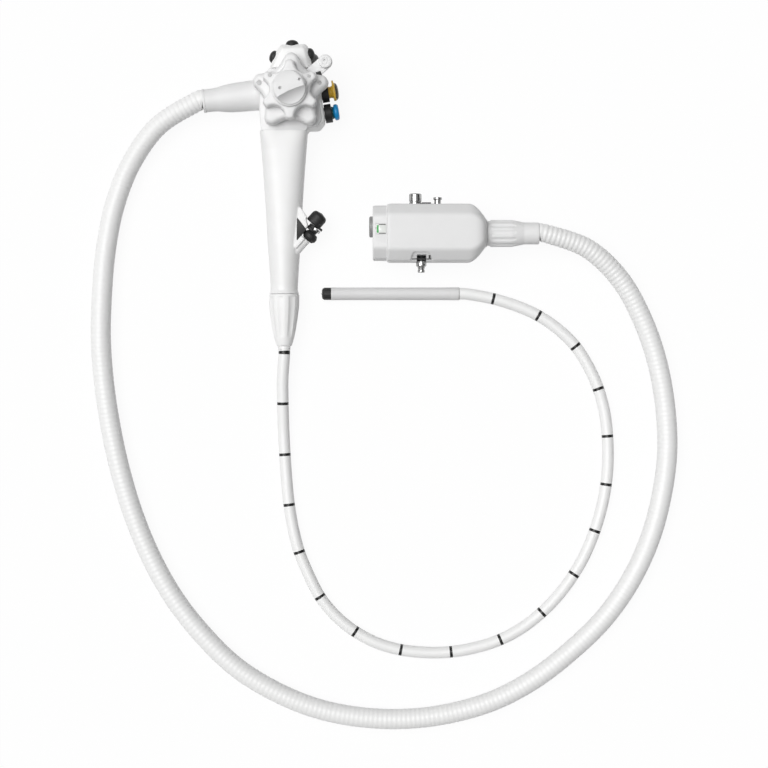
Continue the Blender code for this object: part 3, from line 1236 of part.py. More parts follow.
def make_connector(white, grey, black, steel, glass):
    neck = 2 * CONNECTOR_NECK_RADIUS
    sections = [(CLEARANCE, CONNECTOR_WIDTH - 1.6 * MM), (1.2 * MM, CONNECTOR_WIDTH)]
    start = CONNECTOR_LENGTH - CONNECTOR_SHOULDER
    for step in range(5):
        turn = radians(90) * step / 4
        width = neck + (CONNECTOR_WIDTH - neck) * cos(turn) ** 0.8
        sections.append((start + CONNECTOR_SHOULDER * 0.88 * sin(turn), width))
    sections.append((CONNECTOR_LENGTH, neck))
    housing = add_part("connector_housing", loft([connector_loop(*item) for item in sections]), white)
    side_low = CONNECTOR_AXIS_Y - CONNECTOR_WIDTH / 2
    recess = add_part("connector_recess", block(
        (AIR_NIPPLE_X - RECESS_LENGTH / 2, side_low - MM, CONNECTOR_AXIS_Z - RECESS_HEIGHT / 2),
        (AIR_NIPPLE_X + RECESS_LENGTH / 2, side_low + RECESS_DEPTH, CONNECTOR_AXIS_Z + RECESS_HEIGHT / 2)))
    cut(housing, recess)

    ring_start = -FRONT_RING_LENGTH - CLEARANCE
    ring = add_part("connector_front_ring", loft([
        connector_loop(ring_start, FRONT_RING_WIDTH - 1.6 * MM),
        connector_loop(ring_start + 1.2 * MM, FRONT_RING_WIDTH),
        connector_loop(-CLEARANCE, FRONT_RING_WIDTH),
    ]), grey)
    pocket_end = ring_start + FACE_PLATE_SETBACK + FACE_PLATE_THICKNESS + CLEARANCE
    pocket = add_part("front_ring_pocket", loft([
        connector_loop(ring_start - MM, FACE_PLATE_WIDTH + 2 * CLEARANCE),
        connector_loop(pocket_end, FACE_PLATE_WIDTH + 2 * CLEARANCE),
    ]))
    cut(ring, pocket)
    plate_start = ring_start + FACE_PLATE_SETBACK
    plate = add_part("connector_face_plate", loft([
        connector_loop(plate_start, FACE_PLATE_WIDTH),
        connector_loop(plate_start + FACE_PLATE_THICKNESS, FACE_PLATE_WIDTH),
    ]), white)
    plug = add_part("connector_plug", turned([
        (0, PLUG_LENGTH + 0.5 * MM), (PLUG_RADIUS - 1.2 * MM, PLUG_LENGTH + 0.5 * MM),
        (PLUG_RADIUS, PLUG_LENGTH - 0.7 * MM), (PLUG_RADIUS, CLEARANCE), (0, CLEARANCE),
    ], 28), grey)
    aim(plug, (CONNECTOR_FRONT_X + plate_start, CONNECTOR_AXIS_Y + PLUG_OFFSET_Y, CONNECTOR_AXIS_Z),
        (-1, 0, 0))
    make_window(ring, glass)
    make_nipples(housing, black, steel)
    make_connector_boot(white)
    return plate


def make_window(ring, glass):
    top = CONNECTOR_AXIS_Z + FRONT_RING_WIDTH / 2
    middle = Vector((CONNECTOR_FRONT_X - CLEARANCE - 0.65 * MM - WINDOW_LENGTH / 2,
                     CONNECTOR_AXIS_Y + WINDOW_OFFSET_Y, 0))
    half = Vector((WINDOW_LENGTH / 2, WINDOW_WIDTH / 2, 0))
    rim = Vector((CLEARANCE, CLEARANCE, 0))
    seat = add_part("window_seat", block(
        middle - half - rim + Vector((0, 0, top - WINDOW_DEPTH)),
        middle + half + rim + Vector((0, 0, top + MM))))
    cut(ring, seat)
    add_part("status_window", block(
        middle - half + Vector((0, 0, top - WINDOW_DEPTH + CLEARANCE)),
        middle + half + Vector((0, 0, top - 0.1 * MM))), glass)


def nipple_profile(radius, height, bore, flange):
    """Hollow nipple with a flange of its full radius at its mouth or its middle."""
    neck = 0.76 * radius
    if flange == "middle":
        outer = [(neck - 0.5 * MM, height), (neck, height - 0.5 * MM), (neck, 0.7 * height),
                 (radius, 0.7 * height), (radius, 0.44 * height), (neck, 0.44 * height),
                 (neck, CLEARANCE)]
    elif flange == "mouth":
        outer = [(radius - 0.4 * MM, height), (radius, height - 0.4 * MM), (radius, height - 2 * MM),
                 (neck, height - 2.4 * MM), (neck, CLEARANCE)]
    else:
        outer = [(radius - 1.6 * MM, height), (radius - 0.4 * MM, height - 0.6 * MM),
                 (radius, height - 2 * MM), (radius, CLEARANCE)]
    floor = 2 * MM
    return [(0, floor), (bore, floor), (bore, height)] + outer + [(0, CLEARANCE)]


def make_nipples(housing, black, steel):
    side = CONNECTOR_WIDTH / 2
    top = Vector((0, CONNECTOR_AXIS_Y + side, CONNECTOR_AXIS_Z))
    suction = add_part("suction_nipple", turned(nipple_profile(
        SUCTION_NIPPLE_RADIUS, SUCTION_NIPPLE_HEIGHT, 3.4 * MM, None), 20), steel)
    aim(suction, top + Vector((SUCTION_NIPPLE_X, 0, 0)), (0, 1, 0), "X")
    water = add_part("water_nipple", turned(nipple_profile(
        WATER_NIPPLE_RADIUS, WATER_NIPPLE_HEIGHT, 1.8 * MM, "mouth"), 16), steel)
    aim(water, top + Vector((WATER_NIPPLE_X, 0, 0)), (0, 1, 0), "X")
    low = Vector((AIR_NIPPLE_X, CONNECTOR_AXIS_Y - side + RECESS_DEPTH, CONNECTOR_AXIS_Z))
    air = add_part("air_nipple", turned(nipple_profile(
        AIR_NIPPLE_RADIUS, RECESS_DEPTH + AIR_NIPPLE_REACH, 2.2 * MM, "middle"), 18), steel)
    aim(air, low, (0, -1, 0), "X")


def make_connector_boot(white):
    start = Vector((CONNECTOR_FRONT_X + CONNECTOR_LENGTH + CLEARANCE, CONNECTOR_AXIS_Y, CONNECTOR_AXIS_Z))
    radius, end, length = CONNECTOR_BOOT_RADIUS, CONNECTOR_BOOT_END_RADIUS, CONNECTOR_BOOT_LENGTH
    boot = add_part("connector_boot", boot_mesh([
        (0, radius - 1.4 * MM, 0), (2.6 * MM, radius - 0.8 * MM, 0), (3.4 * MM, radius, 0.7 * MM),
        (24 * MM, radius, 0.7 * MM), (26 * MM, radius - 0.4 * MM, 0), (36 * MM, end, 0),
        (length - 0.8 * MM, end, 0), (length, end - 0.6 * MM, 0),
    ], CONNECTOR_BOOT_FLUTES), white)
    aim(boot, start, (1, 0, 0))


def main():
    clear_scene()
    white = material("white_moulded_plastic", (0.80, 0.80, 0.79), 0.42)
    cream = material("pale_elastomer", (0.76, 0.76, 0.75), 0.5)
    grey = material("light_grey_plastic", (0.62, 0.62, 0.62), 0.45)
    black = material("black_rubber", (0.02, 0.02, 0.02), 0.55)
    yellow = material("yellow_plastic", (0.72, 0.42, 0.03), 0.35)
    blue = material("blue_plastic", (0.01, 0.22, 0.55), 0.35)
    steel = material("stainless_steel", (0.62, 0.62, 0.62), 0.22, 1.0)
    glass = material("lens_glass", (0.35, 0.42, 0.45), 0.08)
    make_head(white)
    make_top_cover(white, black)
    make_knobs(white, white, steel)
    make_stop_block(black)
    make_valves(black, steel, yellow, blue)
    make_grip(white, black)
    make_port(black, steel)
    make_insertion_boot(white, steel)
    make_head_cord_boot(white)
    make_universal_cord(cream)
    make_insertion_tube(cream)
    carrier = make_bending_section(steel, cream)
    make_distal_tip(black, glass, steel, carrier)
    make_connector(white, grey, black, steel, glass)


main()
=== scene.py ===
import json
import math

import bpy
import bmesh
from mathutils import Matrix, Vector


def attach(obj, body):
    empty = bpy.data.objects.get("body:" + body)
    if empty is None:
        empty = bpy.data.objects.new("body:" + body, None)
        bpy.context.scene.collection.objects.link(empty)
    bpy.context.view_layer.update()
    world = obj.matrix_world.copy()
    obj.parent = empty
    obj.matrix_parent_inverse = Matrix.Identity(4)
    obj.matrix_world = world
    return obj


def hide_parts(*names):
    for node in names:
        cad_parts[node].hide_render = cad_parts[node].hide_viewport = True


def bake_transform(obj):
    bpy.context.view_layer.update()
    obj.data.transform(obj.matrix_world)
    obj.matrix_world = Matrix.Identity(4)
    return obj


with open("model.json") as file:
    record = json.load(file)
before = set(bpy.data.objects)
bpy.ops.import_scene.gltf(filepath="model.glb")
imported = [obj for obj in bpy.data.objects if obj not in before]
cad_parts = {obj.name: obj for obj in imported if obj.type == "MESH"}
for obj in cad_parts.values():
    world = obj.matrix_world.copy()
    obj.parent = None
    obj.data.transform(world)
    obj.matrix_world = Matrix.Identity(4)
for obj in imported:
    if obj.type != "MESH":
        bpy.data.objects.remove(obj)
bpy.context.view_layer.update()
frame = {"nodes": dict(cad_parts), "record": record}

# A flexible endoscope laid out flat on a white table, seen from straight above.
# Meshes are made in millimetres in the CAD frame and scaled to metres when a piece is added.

mm = 0.001
scene = bpy.context.scene

# camera of the photograph, straight down
camera = {"x": 91.3, "y": -285.2, "height": 2000, "frameWidth": 768, "sensor": 36}
lens = bpy.data.cameras.new("photoCamera")
lens.sensor_width = camera["sensor"]
lens.lens = camera["sensor"] * camera["height"] / camera["frameWidth"]
lens.clip_start = 0.05
lens.clip_end = 20
eye = bpy.data.objects.new("photoCamera", lens)
eye.location = (camera["x"] * mm, camera["y"] * mm, camera["height"] * mm)
scene.collection.objects.link(eye)
scene.camera = eye
print("camera set")


# materials

# sRGB hex to linear RGBA
def linear(code):
    out = []
    for start in (1, 3, 5):
        value = int(code[start:start + 2], 16) / 255
        out.append(value / 12.92 if value <= 0.04045 else ((value + 0.055) / 1.055) ** 2.4)
    return (*out, 1.0)


def addNode(tree, kind, values=None, links=None, **settings):
    node = tree.nodes.new("ShaderNode" + kind)
    for key, value in settings.items():
        setattr(node, key, value)
    for socket, value in (values or {}).items():
        node.inputs[socket].default_value = value
    for socket, source in (links or {}).items():
        tree.links.new(source, node.inputs[socket])
    return node


# moulded, turned or brushed surface: fine grain as bump and gloss, slow mottling of the colour;
# grain, patch and depth are in millimetres
def surface(name, look):
    made = bpy.data.materials.new(name)
    made.use_nodes = True
    tree = made.node_tree
    tree.nodes.clear()
    place = addNode(tree, "TexCoord")
    inMm = addNode(tree, "Mapping", {"Scale": (1000, 1000, 1000)}, {"Vector": place.outputs["Object"]})
    stretched = inMm
    if "stretch" in look:
        stretched = addNode(tree, "Mapping", {"Scale": look["stretch"]}, {"Vector": inMm.outputs["Vector"]})
    grain = addNode(tree, "TexNoise", {"Scale": 1 / look["grain"], "Detail": 2.0, "Roughness": 0.6},
                    {"Vector": stretched.outputs["Vector"]})
    patches = addNode(tree, "TexNoise", {"Scale": 1 / look.get("patch", 14), "Detail": 1.5},
                      {"Vector": inMm.outputs["Vector"]})
    colour = addNode(tree, "Mix", {"A": linear(look["colour"]), "B": linear(look["shade"])}, data_type="RGBA")
    tree.links.new(patches.outputs["Fac"], colour.inputs["Factor"])
    low, high = look["gloss"]
    gloss = addNode(tree, "MapRange", {"To Min": low, "To Max": high}, {"Value": grain.outputs["Fac"]})
    bump = addNode(tree, "Bump", {"Strength": 1.0, "Distance": look["depth"] * mm},
                   {"Height": grain.outputs["Fac"]})
    shader = addNode(tree, "BsdfPrincipled", look.get("shader", {}), {
        "Base Color": colour.outputs["Result"], "Roughness": gloss.outputs["Result"],
        "Normal": bump.outputs["Normal"]})
    addNode(tree, "OutputMaterial", None, {"Surface": shader.outputs["BSDF"]})
    made.diffuse_color = linear(look["colour"])
    return made


polysulfone = {"IOR": 1.63, "Specular IOR Level": 0.4}
silicone = {"IOR": 1.43, "Subsurface Weight": 0.04, "Subsurface Radius": (0.002, 0.002, 0.002)}
# polysulfone, injection moulded in a finely spark eroded tool: satin white, hardly mottled
mouldedWhite = surface("mouldedWhitePolysulfone", {
    "colour": "#f4f4f4", "shade": "#f0f0ef", "grain": 0.45, "depth": 0.006, "gloss": (0.34, 0.46),
    "shader": polysulfone})
# knobs: the same plastic, slightly greyer batch colour; on the head cover and boot hood it is painted shade
knobWhiteAndPaintedShade = surface("knobPolysulfoneAndPaintedShade", {
    "colour": "#e9e9e9", "shade": "#e5e5e5", "grain": 0.4, "depth": 0.006, "gloss": (0.36, 0.48),
    "shader": polysulfone})
# grey discs set into the shallow dimples of the knobs' tops: the same plastic, tinted grey
mouldedPlug = surface("mouldedPlugPolysulfone", {
    "colour": "#bcbcbc", "shade": "#b5b5b5", "grain": 0.4, "depth": 0.006, "gloss": (0.36, 0.48),
    "shader": polysulfone})
# light grey ABS of the connector, moulded with a matt texture
mouldedGrey = surface("mouldedGreyAbs", {
    "colour": "#e8e8e8", "shade": "#e4e4e4", "grain": 0.5, "depth": 0.01, "gloss": (0.42, 0.54),
    "shader": {"IOR": 1.54, "Specular IOR Level": 0.4}})
# moulded silicone boots: soft sheen, a little waxy
siliconeWhite = surface("mouldedSilicone", {
    "colour": "#f6f6f6", "shade": "#f3f3f2", "grain": 0.7, "depth": 0.008, "gloss": (0.4, 0.52),
    "shader": silicone})
# the two boots of the universal cord are of a greyer silicone
siliconeGrey = surface("mouldedGreySilicone", {
    "colour": "#ebebeb", "shade": "#e7e7e7", "grain": 0.7, "depth": 0.008, "gloss": (0.4, 0.52),
    "shader": silicone})
# polyurethane tube, extruded over a ribbed coil and lacquered: glossier than the boots
extrudedTube = surface("extrudedPolyurethane", {
    "colour": "#f3f3f3", "shade": "#f1f1f0", "grain": 0.4, "depth": 0.0015, "patch": 30,
    "gloss": (0.32, 0.35), "shader": {"IOR": 1.5, "Specular IOR Level": 0.45}})
# fluoroelastomer skin of the bending section, thin moulded tube: greyer and matter
bendingRubber = surface("mouldedFluoroelastomer", {
    "colour": "#dedede", "shade": "#d9d9d9", "grain": 0.6, "depth": 0.008, "patch": 20,
    "gloss": (0.44, 0.56), "shader": {"IOR": 1.4}})
# black silicone rubber with a dull bloom
blackRubber = surface("mouldedBlackRubber", {
    "colour": "#232323", "shade": "#2b2b2b", "grain": 0.5, "depth": 0.01, "gloss": (0.42, 0.6),
    "shader": {"IOR": 1.43, "Specular IOR Level": 0.5}})
# the low switch is moulded in a greyer rubber
greyRubber = surface("mouldedGreyRubber", {
    "colour": "#8b8b8b", "shade": "#828282", "grain": 0.5, "depth": 0.01, "gloss": (0.42, 0.56),
    "shader": {"IOR": 1.43}})
# plug body: glass filled nylon, mid grey with a dull sheen
plugGrey = surface("mouldedGreyNylon", {
    "colour": "#8e8e8e", "shade": "#858585", "grain": 0.4, "depth": 0.006, "gloss": (0.32, 0.44),
    "shader": {"IOR": 1.53}})
# printed ink of the depth marks: dense black, flush with the lacquer
markInk = surface("printedBlackInk", {
    "colour": "#101010", "shade": "#181818", "grain": 0.6, "depth": 0.004, "gloss": (0.3, 0.4),
    "shader": {"IOR": 1.5}})
# tinted acetal of the suction button
yellowAcetal = surface("mouldedYellowAcetal", {
    "colour": "#edc246", "shade": "#e4b93f", "grain": 0.4, "depth": 0.005, "gloss": (0.28, 0.36),
    "shader": {"IOR": 1.48}})
# the same acetal in blue, for the air and water button
blueAcetal = surface("mouldedBlueAcetal", {
    "colour": "#1592d2", "shade": "#1288c6", "grain": 0.4, "depth": 0.005, "gloss": (0.28, 0.36),
    "shader": {"IOR": 1.48}})
# teal silicone rubber of that button's neck, moulded with a dull sheen
tealRubber = surface("mouldedTealRubber", {
    "colour": "#1f5a60", "shade": "#1a4c52", "grain": 0.4, "depth": 0.006, "gloss": (0.4, 0.5),
    "shader": {"IOR": 1.43}})
# smoked silicone cap of the suction button: see-through brown grey
smokedCap = surface("smokedSilicone", {
    "colour": "#6d6558", "shade": "#625b50", "grain": 0.6, "depth": 0.006, "gloss": (0.16, 0.24),
    "shader": {"IOR": 1.41, "Transmission Weight": 0.5}})
# stainless steel 304, turned and polished: fine rings left by the tool, dull towards the edges
turnedSteel = surface("turnedStainlessSteel", {
    "colour": "#cfcfce", "shade": "#c0c0c0", "grain": 0.3, "depth": 0.003, "gloss": (0.18, 0.28),
    "shader": {"Metallic": 1.0, "Specular Tint": (0.12, 0.12, 0.12, 1)}})
# the same steel brushed along the plate
brushedSteel = surface("brushedStainlessSteel", {
    "colour": "#c9c9c8", "shade": "#bababa", "grain": 0.3, "depth": 0.004, "gloss": (0.24, 0.38),
    "stretch": (0.08, 1.0, 1.0), "shader": {"Metallic": 1.0}})
# optical glass with a dark coating behind it
coatedGlass = surface("polishedOpticalGlass", {
    "colour": "#20303c", "shade": "#182632", "grain": 0.8, "depth": 0.001, "gloss": (0.03, 0.06),
    "shader": {"IOR": 1.62, "Coat Weight": 0.6, "Coat Roughness": 0.03}})
# pearly polycarbonate window
windowWhite = surface("polishedWindowPolycarbonate", {
    "colour": "#f0f2ef", "shade": "#e7eae6", "grain": 0.8, "depth": 0.002, "gloss": (0.12, 0.2),
    "shader": {"IOR": 1.58, "Coat Weight": 0.3}})
# green ink of the window's bar, printed in one thick coat
windowGreen = surface("printedGreenInk", {
    "colour": "#3fae55", "shade": "#36a04c", "grain": 0.4, "depth": 0.003, "gloss": (0.3, 0.4),
    "shader": {"IOR": 1.5}})
print("materials made")


# mesh helpers, all in millimetres

def turnsOf(count):
    return [2 * math.pi * k / count for k in range(count)]


def polar(radius, turn, height):
    return Vector((radius * math.cos(turn), radius * math.sin(turn), height))


# quarter of a circle or more in a profile, through the given angles in degrees
def arc(across, height, radius, degrees):
    return [(across + radius * math.cos(math.radians(a)), height + radius * math.sin(math.radians(a)))
            for a in degrees]


def turnedAboutZ(degrees):
    return Matrix.Rotation(math.radians(degrees), 4, "Z")


# line whose corners are arcs; a corner may carry its own radius as a third number
def roundLine(corners, radius, steps=5, closed=True):
    out = []
    count = len(corners)
    for index, corner in enumerate(corners):
        spot = Vector(corner[:2])
        if not closed and index in (0, count - 1):
            out.append(spot)
            continue
        size = corner[2] if len(corner) > 2 else radius
        before = Vector(corners[index - 1][:2]) - spot
        after = Vector(corners[(index + 1) % count][:2]) - spot
        half = before.angle(after) / 2
        if size <= 0 or half > 1.54:
            out.append(spot)
            continue
        reach = min(size / math.tan(half), 0.48 * before.length, 0.48 * after.length)
        middle = spot + (before.normalized() + after.normalized()).normalized() * reach / math.cos(half)
        start = spot + before.normalized() * reach - middle
        end = spot + after.normalized() * reach - middle
        for step in range(steps + 1):
            out.append(middle + start.slerp(end, step / steps) * start.length)
    return out


# faces between loops of 3D points with equal counts
def skin(loops, ring=False):
    mesh = bmesh.new()
    made = [[mesh.verts.new(point) for point in loop] for loop in loops]
    pairs = list(zip(made, made[1:]))
    if ring:
        pairs.append((made[-1], made[0]))
    else:
        mesh.faces.new(made[0])
        mesh.faces.new(made[-1])
    for near, far in pairs:
        for index in range(len(near)):
            mesh.faces.new((near[index - 1], near[index], far[index], far[index - 1]))
    bmesh.ops.recalc_face_normals(mesh, faces=mesh.faces)
    return mesh


# profile of (radius, height) turned about Z; ends on the axis are closed to a point
def lathe(profile, sides=48, ring=False):
    turns = turnsOf(sides)
    if ring:
        return skin([[polar(r, t, h) for t in turns] for r, h in profile], True)
    mesh = bmesh.new()
    loops = []
    for r, h in profile:
        if r < 1e-6:
            loops.append([mesh.verts.new((0, 0, h))])
        else:
            loops.append([mesh.verts.new(polar(r, t, h)) for t in turns])
    for near, far in zip(loops, loops[1:]):
        for side in range(sides):
            if len(near) == 1:
                mesh.faces.new((near[0], far[side], far[side - 1]))
            elif len(far) == 1:
                mesh.faces.new((near[side - 1], near[side], far[0]))
            else:
                mesh.faces.new((near[side - 1], near[side], far[side], far[side - 1]))
    bmesh.ops.recalc_face_normals(mesh, faces=mesh.faces)
    return mesh


def roundEdges(mesh, edges, size, segments):
    bmesh.ops.bevel(mesh, geom=edges, offset=size, offset_type="OFFSET", segments=segments, profile=0.5,
                    affect="EDGES", clamp_overlap=False)


def edgesAt(mesh, level):
    return [e for e in mesh.edges if all(abs(v.co.z - level) < 1e-4 for v in e.verts)]


# outline extruded along Z with rounded rims
def slab(outline, low, high, topRound=0, footRound=0, segments=4):
    mesh = skin([[Vector((p[0], p[1], z)) for p in outline] for z in (low, high)])
    for level, size in ((high, topRound), (low, footRound)):
        if size:
            roundEdges(mesh, edgesAt(mesh, level), size, segments)
    return mesh


def brick(low, high):
    return slab([(low[0], low[1]), (high[0], low[1]), (high[0], high[1]), (low[0], high[1])], low[2], high[2])


# moves a mesh made along Z so that Z points along direction
def turned(mesh, origin, direction, spin=0.0):
    z = Vector(direction).normalized()
    side = Vector((0, 0, 1)) if abs(z.z) < 0.9 else Vector((0, 1, 0))
    x = side.cross(z).normalized()
    axes = Matrix((x, z.cross(x), z)).transposed().to_4x4()
    mesh.transform(Matrix.Translation(origin) @ axes @ Matrix.Rotation(spin, 4, "Z"))
    return mesh


def joined(*meshes):
    whole = bmesh.new()
    for mesh in meshes:
        part = bpy.data.meshes.new("part")
        mesh.to_mesh(part)
        mesh.free()
        whole.from_mesh(part)
        bpy.data.meshes.remove(part)
    return whole


# booleans, rounding or remeshing with modifiers, taken back as a mesh
def worked(mesh, cutters=(), added=(), edgeRound=0.0, segments=3, angle=32, voxel=0.0, soften=0):
    def stand(source):
        data = bpy.data.meshes.new("work")
        source.to_mesh(data)
        source.free()
        thing = bpy.data.objects.new("work", data)
        scene.collection.objects.link(thing)
        return thing
    base = stand(mesh)
    tools = []
    for group, operation in ((added, "UNION"), (cutters, "DIFFERENCE")):
        for tool in group:
            modifier = base.modifiers.new("cut", "BOOLEAN")
            modifier.operation = operation
            modifier.solver = "EXACT"
            modifier.object = stand(tool)
            tools.append(modifier.object)
    if voxel:
        remesh = base.modifiers.new("blend", "REMESH")
        remesh.mode = "VOXEL"
        remesh.voxel_size = voxel
        smooth = base.modifiers.new("soften", "SMOOTH")
        smooth.factor = 0.5
        smooth.iterations = soften
    if edgeRound:
        rounding = base.modifiers.new("round", "BEVEL")
        rounding.width = edgeRound
        rounding.segments = segments
        rounding.limit_method = "ANGLE"
        rounding.angle_limit = math.radians(angle)
    shaped = base.evaluated_get(bpy.context.evaluated_depsgraph_get()).to_mesh()
    out = bmesh.new()
    out.from_mesh(shaped)
    for thing in [base] + tools:
        data = thing.data
        bpy.data.objects.remove(thing)
        bpy.data.meshes.remove(data)
    return out


slotOf = {part["node"]: part["material_slot"] for part in frame["record"]["subparts"]}


# mesh in millimetres to an object that rides on a body; edges bent by more than sharp degrees show
def addPiece(name, mesh, surfaces, nodes=(), body="endoscope", slotName=None, sharp=40, ride=True):
    for face in mesh.faces:
        face.smooth = True
    for edge in mesh.edges:
        edge.smooth = len(edge.link_faces) == 2 and edge.calc_face_angle(0) < math.radians(sharp)
    bmesh.ops.scale(mesh, vec=(mm, mm, mm), verts=mesh.verts)
    data = bpy.data.meshes.new(name)
    mesh.to_mesh(data)
    mesh.free()
    for item in surfaces if isinstance(surfaces, (list, tuple)) else [surfaces]:
        data.materials.append(item)
    piece = bpy.data.objects.new(name, data)
    scene.collection.objects.link(piece)
    if ride:
        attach(piece, body)
    if nodes:
        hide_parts(*nodes)
        slotName = slotName or slotOf[nodes[0]]
    return piece


# cords

# smooth curve through the given points, cut at the distances that spacing gives for its length
def smoothRoute(points, spacing, perSpan=24):
    ends = [2 * points[0] - points[1]] + points + [2 * points[-1] - points[-2]]
    dense = []
    for a, b, c, d in zip(ends, ends[1:], ends[2:], ends[3:]):
        for step in range(perSpan):
            t = step / perSpan
            dense.append(0.5 * (2 * b + (c - a) * t + (2 * a - 5 * b + 4 * c - d) * t * t
                                + (3 * b - a - 3 * c + d) * t ** 3))
    dense.append(points[-1])
    lengths = [0.0]
    for a, b in zip(dense, dense[1:]):
        lengths.append(lengths[-1] + (b - a).length)
    stations = spacing(lengths[-1])
    out, index = [], 0
    for target in stations:
        while index < len(dense) - 2 and lengths[index + 1] < target:
            index += 1
        share = (target - lengths[index]) / (lengths[index + 1] - lengths[index])
        out.append(dense[index].lerp(dense[index + 1], share))
    return out, stations


# round tube with capped ends along points, without twist
def tube(points, radii, sides):
    mesh = bmesh.new()
    side = None
    rings = []
    for index, point in enumerate(points):
        ahead = (points[min(index + 1, len(points) - 1)] - points[max(index - 1, 0)]).normalized()
        side = side or Vector((0, 0, 1)).cross(ahead)
        side = (side - ahead * side.dot(ahead)).normalized()
        up = ahead.cross(side)
        rings.append([mesh.verts.new(point + (side * math.cos(t) + up * math.sin(t)) * radii[index])
                      for t in turnsOf(sides)])
    mesh.faces.new(rings[0])
    mesh.faces.new(rings[-1])
    faces = []
    for near, far in zip(rings, rings[1:]):
        faces.append([mesh.faces.new((near[k - 1], near[k], far[k], far[k - 1])) for k in range(sides)])
    bmesh.ops.recalc_face_normals(mesh, faces=mesh.faces)
    return mesh, faces


universalCord = {
    "diameter": 20.0, "sides": 44, "ribPitch": 4.7, "ringsPerRib": 8, "grooveShape": 1.15,
    "ribDepth": 0.17, "endRibDepth": 0.5, "endRun": 150, "endFade": 0.7,  # the ribs deepen towards both ends
    "endThinner": 0.8, "thinRun": 70, "insideBoot": 22,
    "route": [  # metres
        (-0.0882, -0.0052, 0.0200), (-0.0942, -0.0059, 0.0200), (-0.1321, -0.0287, 0.0157),
        (-0.1593, -0.0646, 0.0116), (-0.1762, -0.1065, 0.0102), (-0.1852, -0.1508, 0.0101),
        (-0.1892, -0.1959, 0.0101), (-0.1903, -0.2412, 0.0101), (-0.1869, -0.2864, 0.0101),
        (-0.1800, -0.3311, 0.0101), (-0.1701, -0.3753, 0.0101), (-0.1567, -0.4186, 0.0101),
        (-0.1391, -0.4603, 0.0101), (-0.1166, -0.4996, 0.0101), (-0.0886, -0.5351, 0.0101),
        (-0.0561, -0.5666, 0.0101), (-0.0178, -0.5906, 0.0101), (0.0241, -0.6078, 0.0101),
        (0.0684, -0.6167, 0.0101), (0.1136, -0.6183, 0.0101), (0.1585, -0.6125, 0.0101),
        (0.2018, -0.5995, 0.0101), (0.2417, -0.5781, 0.0101), (0.2774, -0.5504, 0.0101),
        (0.3098, -0.5188, 0.0101), (0.3360, -0.4818, 0.0101), (0.3553, -0.4409, 0.0101),
        (0.3673, -0.3973, 0.0101), (0.3731, -0.3524, 0.0101), (0.3710, -0.3072, 0.0101),
        (0.3629, -0.2627, 0.0102), (0.3478, -0.2200, 0.0116), (0.3254, -0.1811, 0.0155),
        (0.2923, -0.1512, 0.0227), (0.2504, -0.1368, 0.0281), (0.2444, -0.1368, 0.0281)]}
insertionTube = {
    "diameter": 11.5, "sides": 40, "step": 3.0, "bandWidth": 2.8, "firstBand": 0.6, "clear": 0.8,
    "fineSteps": 1800,  # for finding each band's place along the tube
    "bands": [  # middles of the printed depth marks, in millimetres
        (-9.4, -253.8), (-9.4, -304.1), (-7.4, -355.3), (-3.2, -405.5), (6.9, -452.8), (27.5, -497.3),
        (62.5, -532), (108, -550.2), (158.3, -552.2), (207.4, -539.9), (248.6, -512.9), (280.5, -475),
        (301.4, -431.6), (312.6, -385.4), (314.1, -337), (305.1, -290.1), (282.3, -247.8),
        (245.2, -217), (200.4, -200.2)],
    "route": [  # metres
        (-0.0077, -0.2514, 0.0150), (-0.0077, -0.2574, 0.0150), (-0.0094, -0.2818, 0.0121),
        (-0.0093, -0.3062, 0.0092), (-0.0087, -0.3307, 0.0065), (-0.0075, -0.3553, 0.0058),
        (-0.0058, -0.3799, 0.0058), (-0.0034, -0.4044, 0.0058), (0.0007, -0.4287, 0.0058),
        (0.0068, -0.4525, 0.0058), (0.0162, -0.4753, 0.0058), (0.0275, -0.4972, 0.0058),
        (0.0430, -0.5162, 0.0058), (0.0621, -0.5317, 0.0058), (0.0838, -0.5432, 0.0058),
        (0.1075, -0.5501, 0.0058), (0.1319, -0.5528, 0.0058), (0.1565, -0.5524, 0.0058),
        (0.1808, -0.5484, 0.0058), (0.2044, -0.5412, 0.0058), (0.2263, -0.5301, 0.0058),
        (0.2459, -0.5153, 0.0058), (0.2634, -0.4979, 0.0058), (0.2783, -0.4783, 0.0058),
        (0.2908, -0.4571, 0.0058), (0.3004, -0.4344, 0.0058), (0.3077, -0.4109, 0.0058),
        (0.3125, -0.3868, 0.0058), (0.3146, -0.3622, 0.0058), (0.3141, -0.3376, 0.0058),
        (0.3112, -0.3131, 0.0058), (0.3048, -0.2894, 0.0058), (0.2947, -0.2669, 0.0058),
        (0.2812, -0.2464, 0.0058), (0.2634, -0.2294, 0.0058), (0.2429, -0.2158, 0.0058),
        (0.2202, -0.2062, 0.0058), (0.1966, -0.1994, 0.0060), (0.1723, -0.1953, 0.0064),
        (0.1663, -0.1953, 0.0064)]}


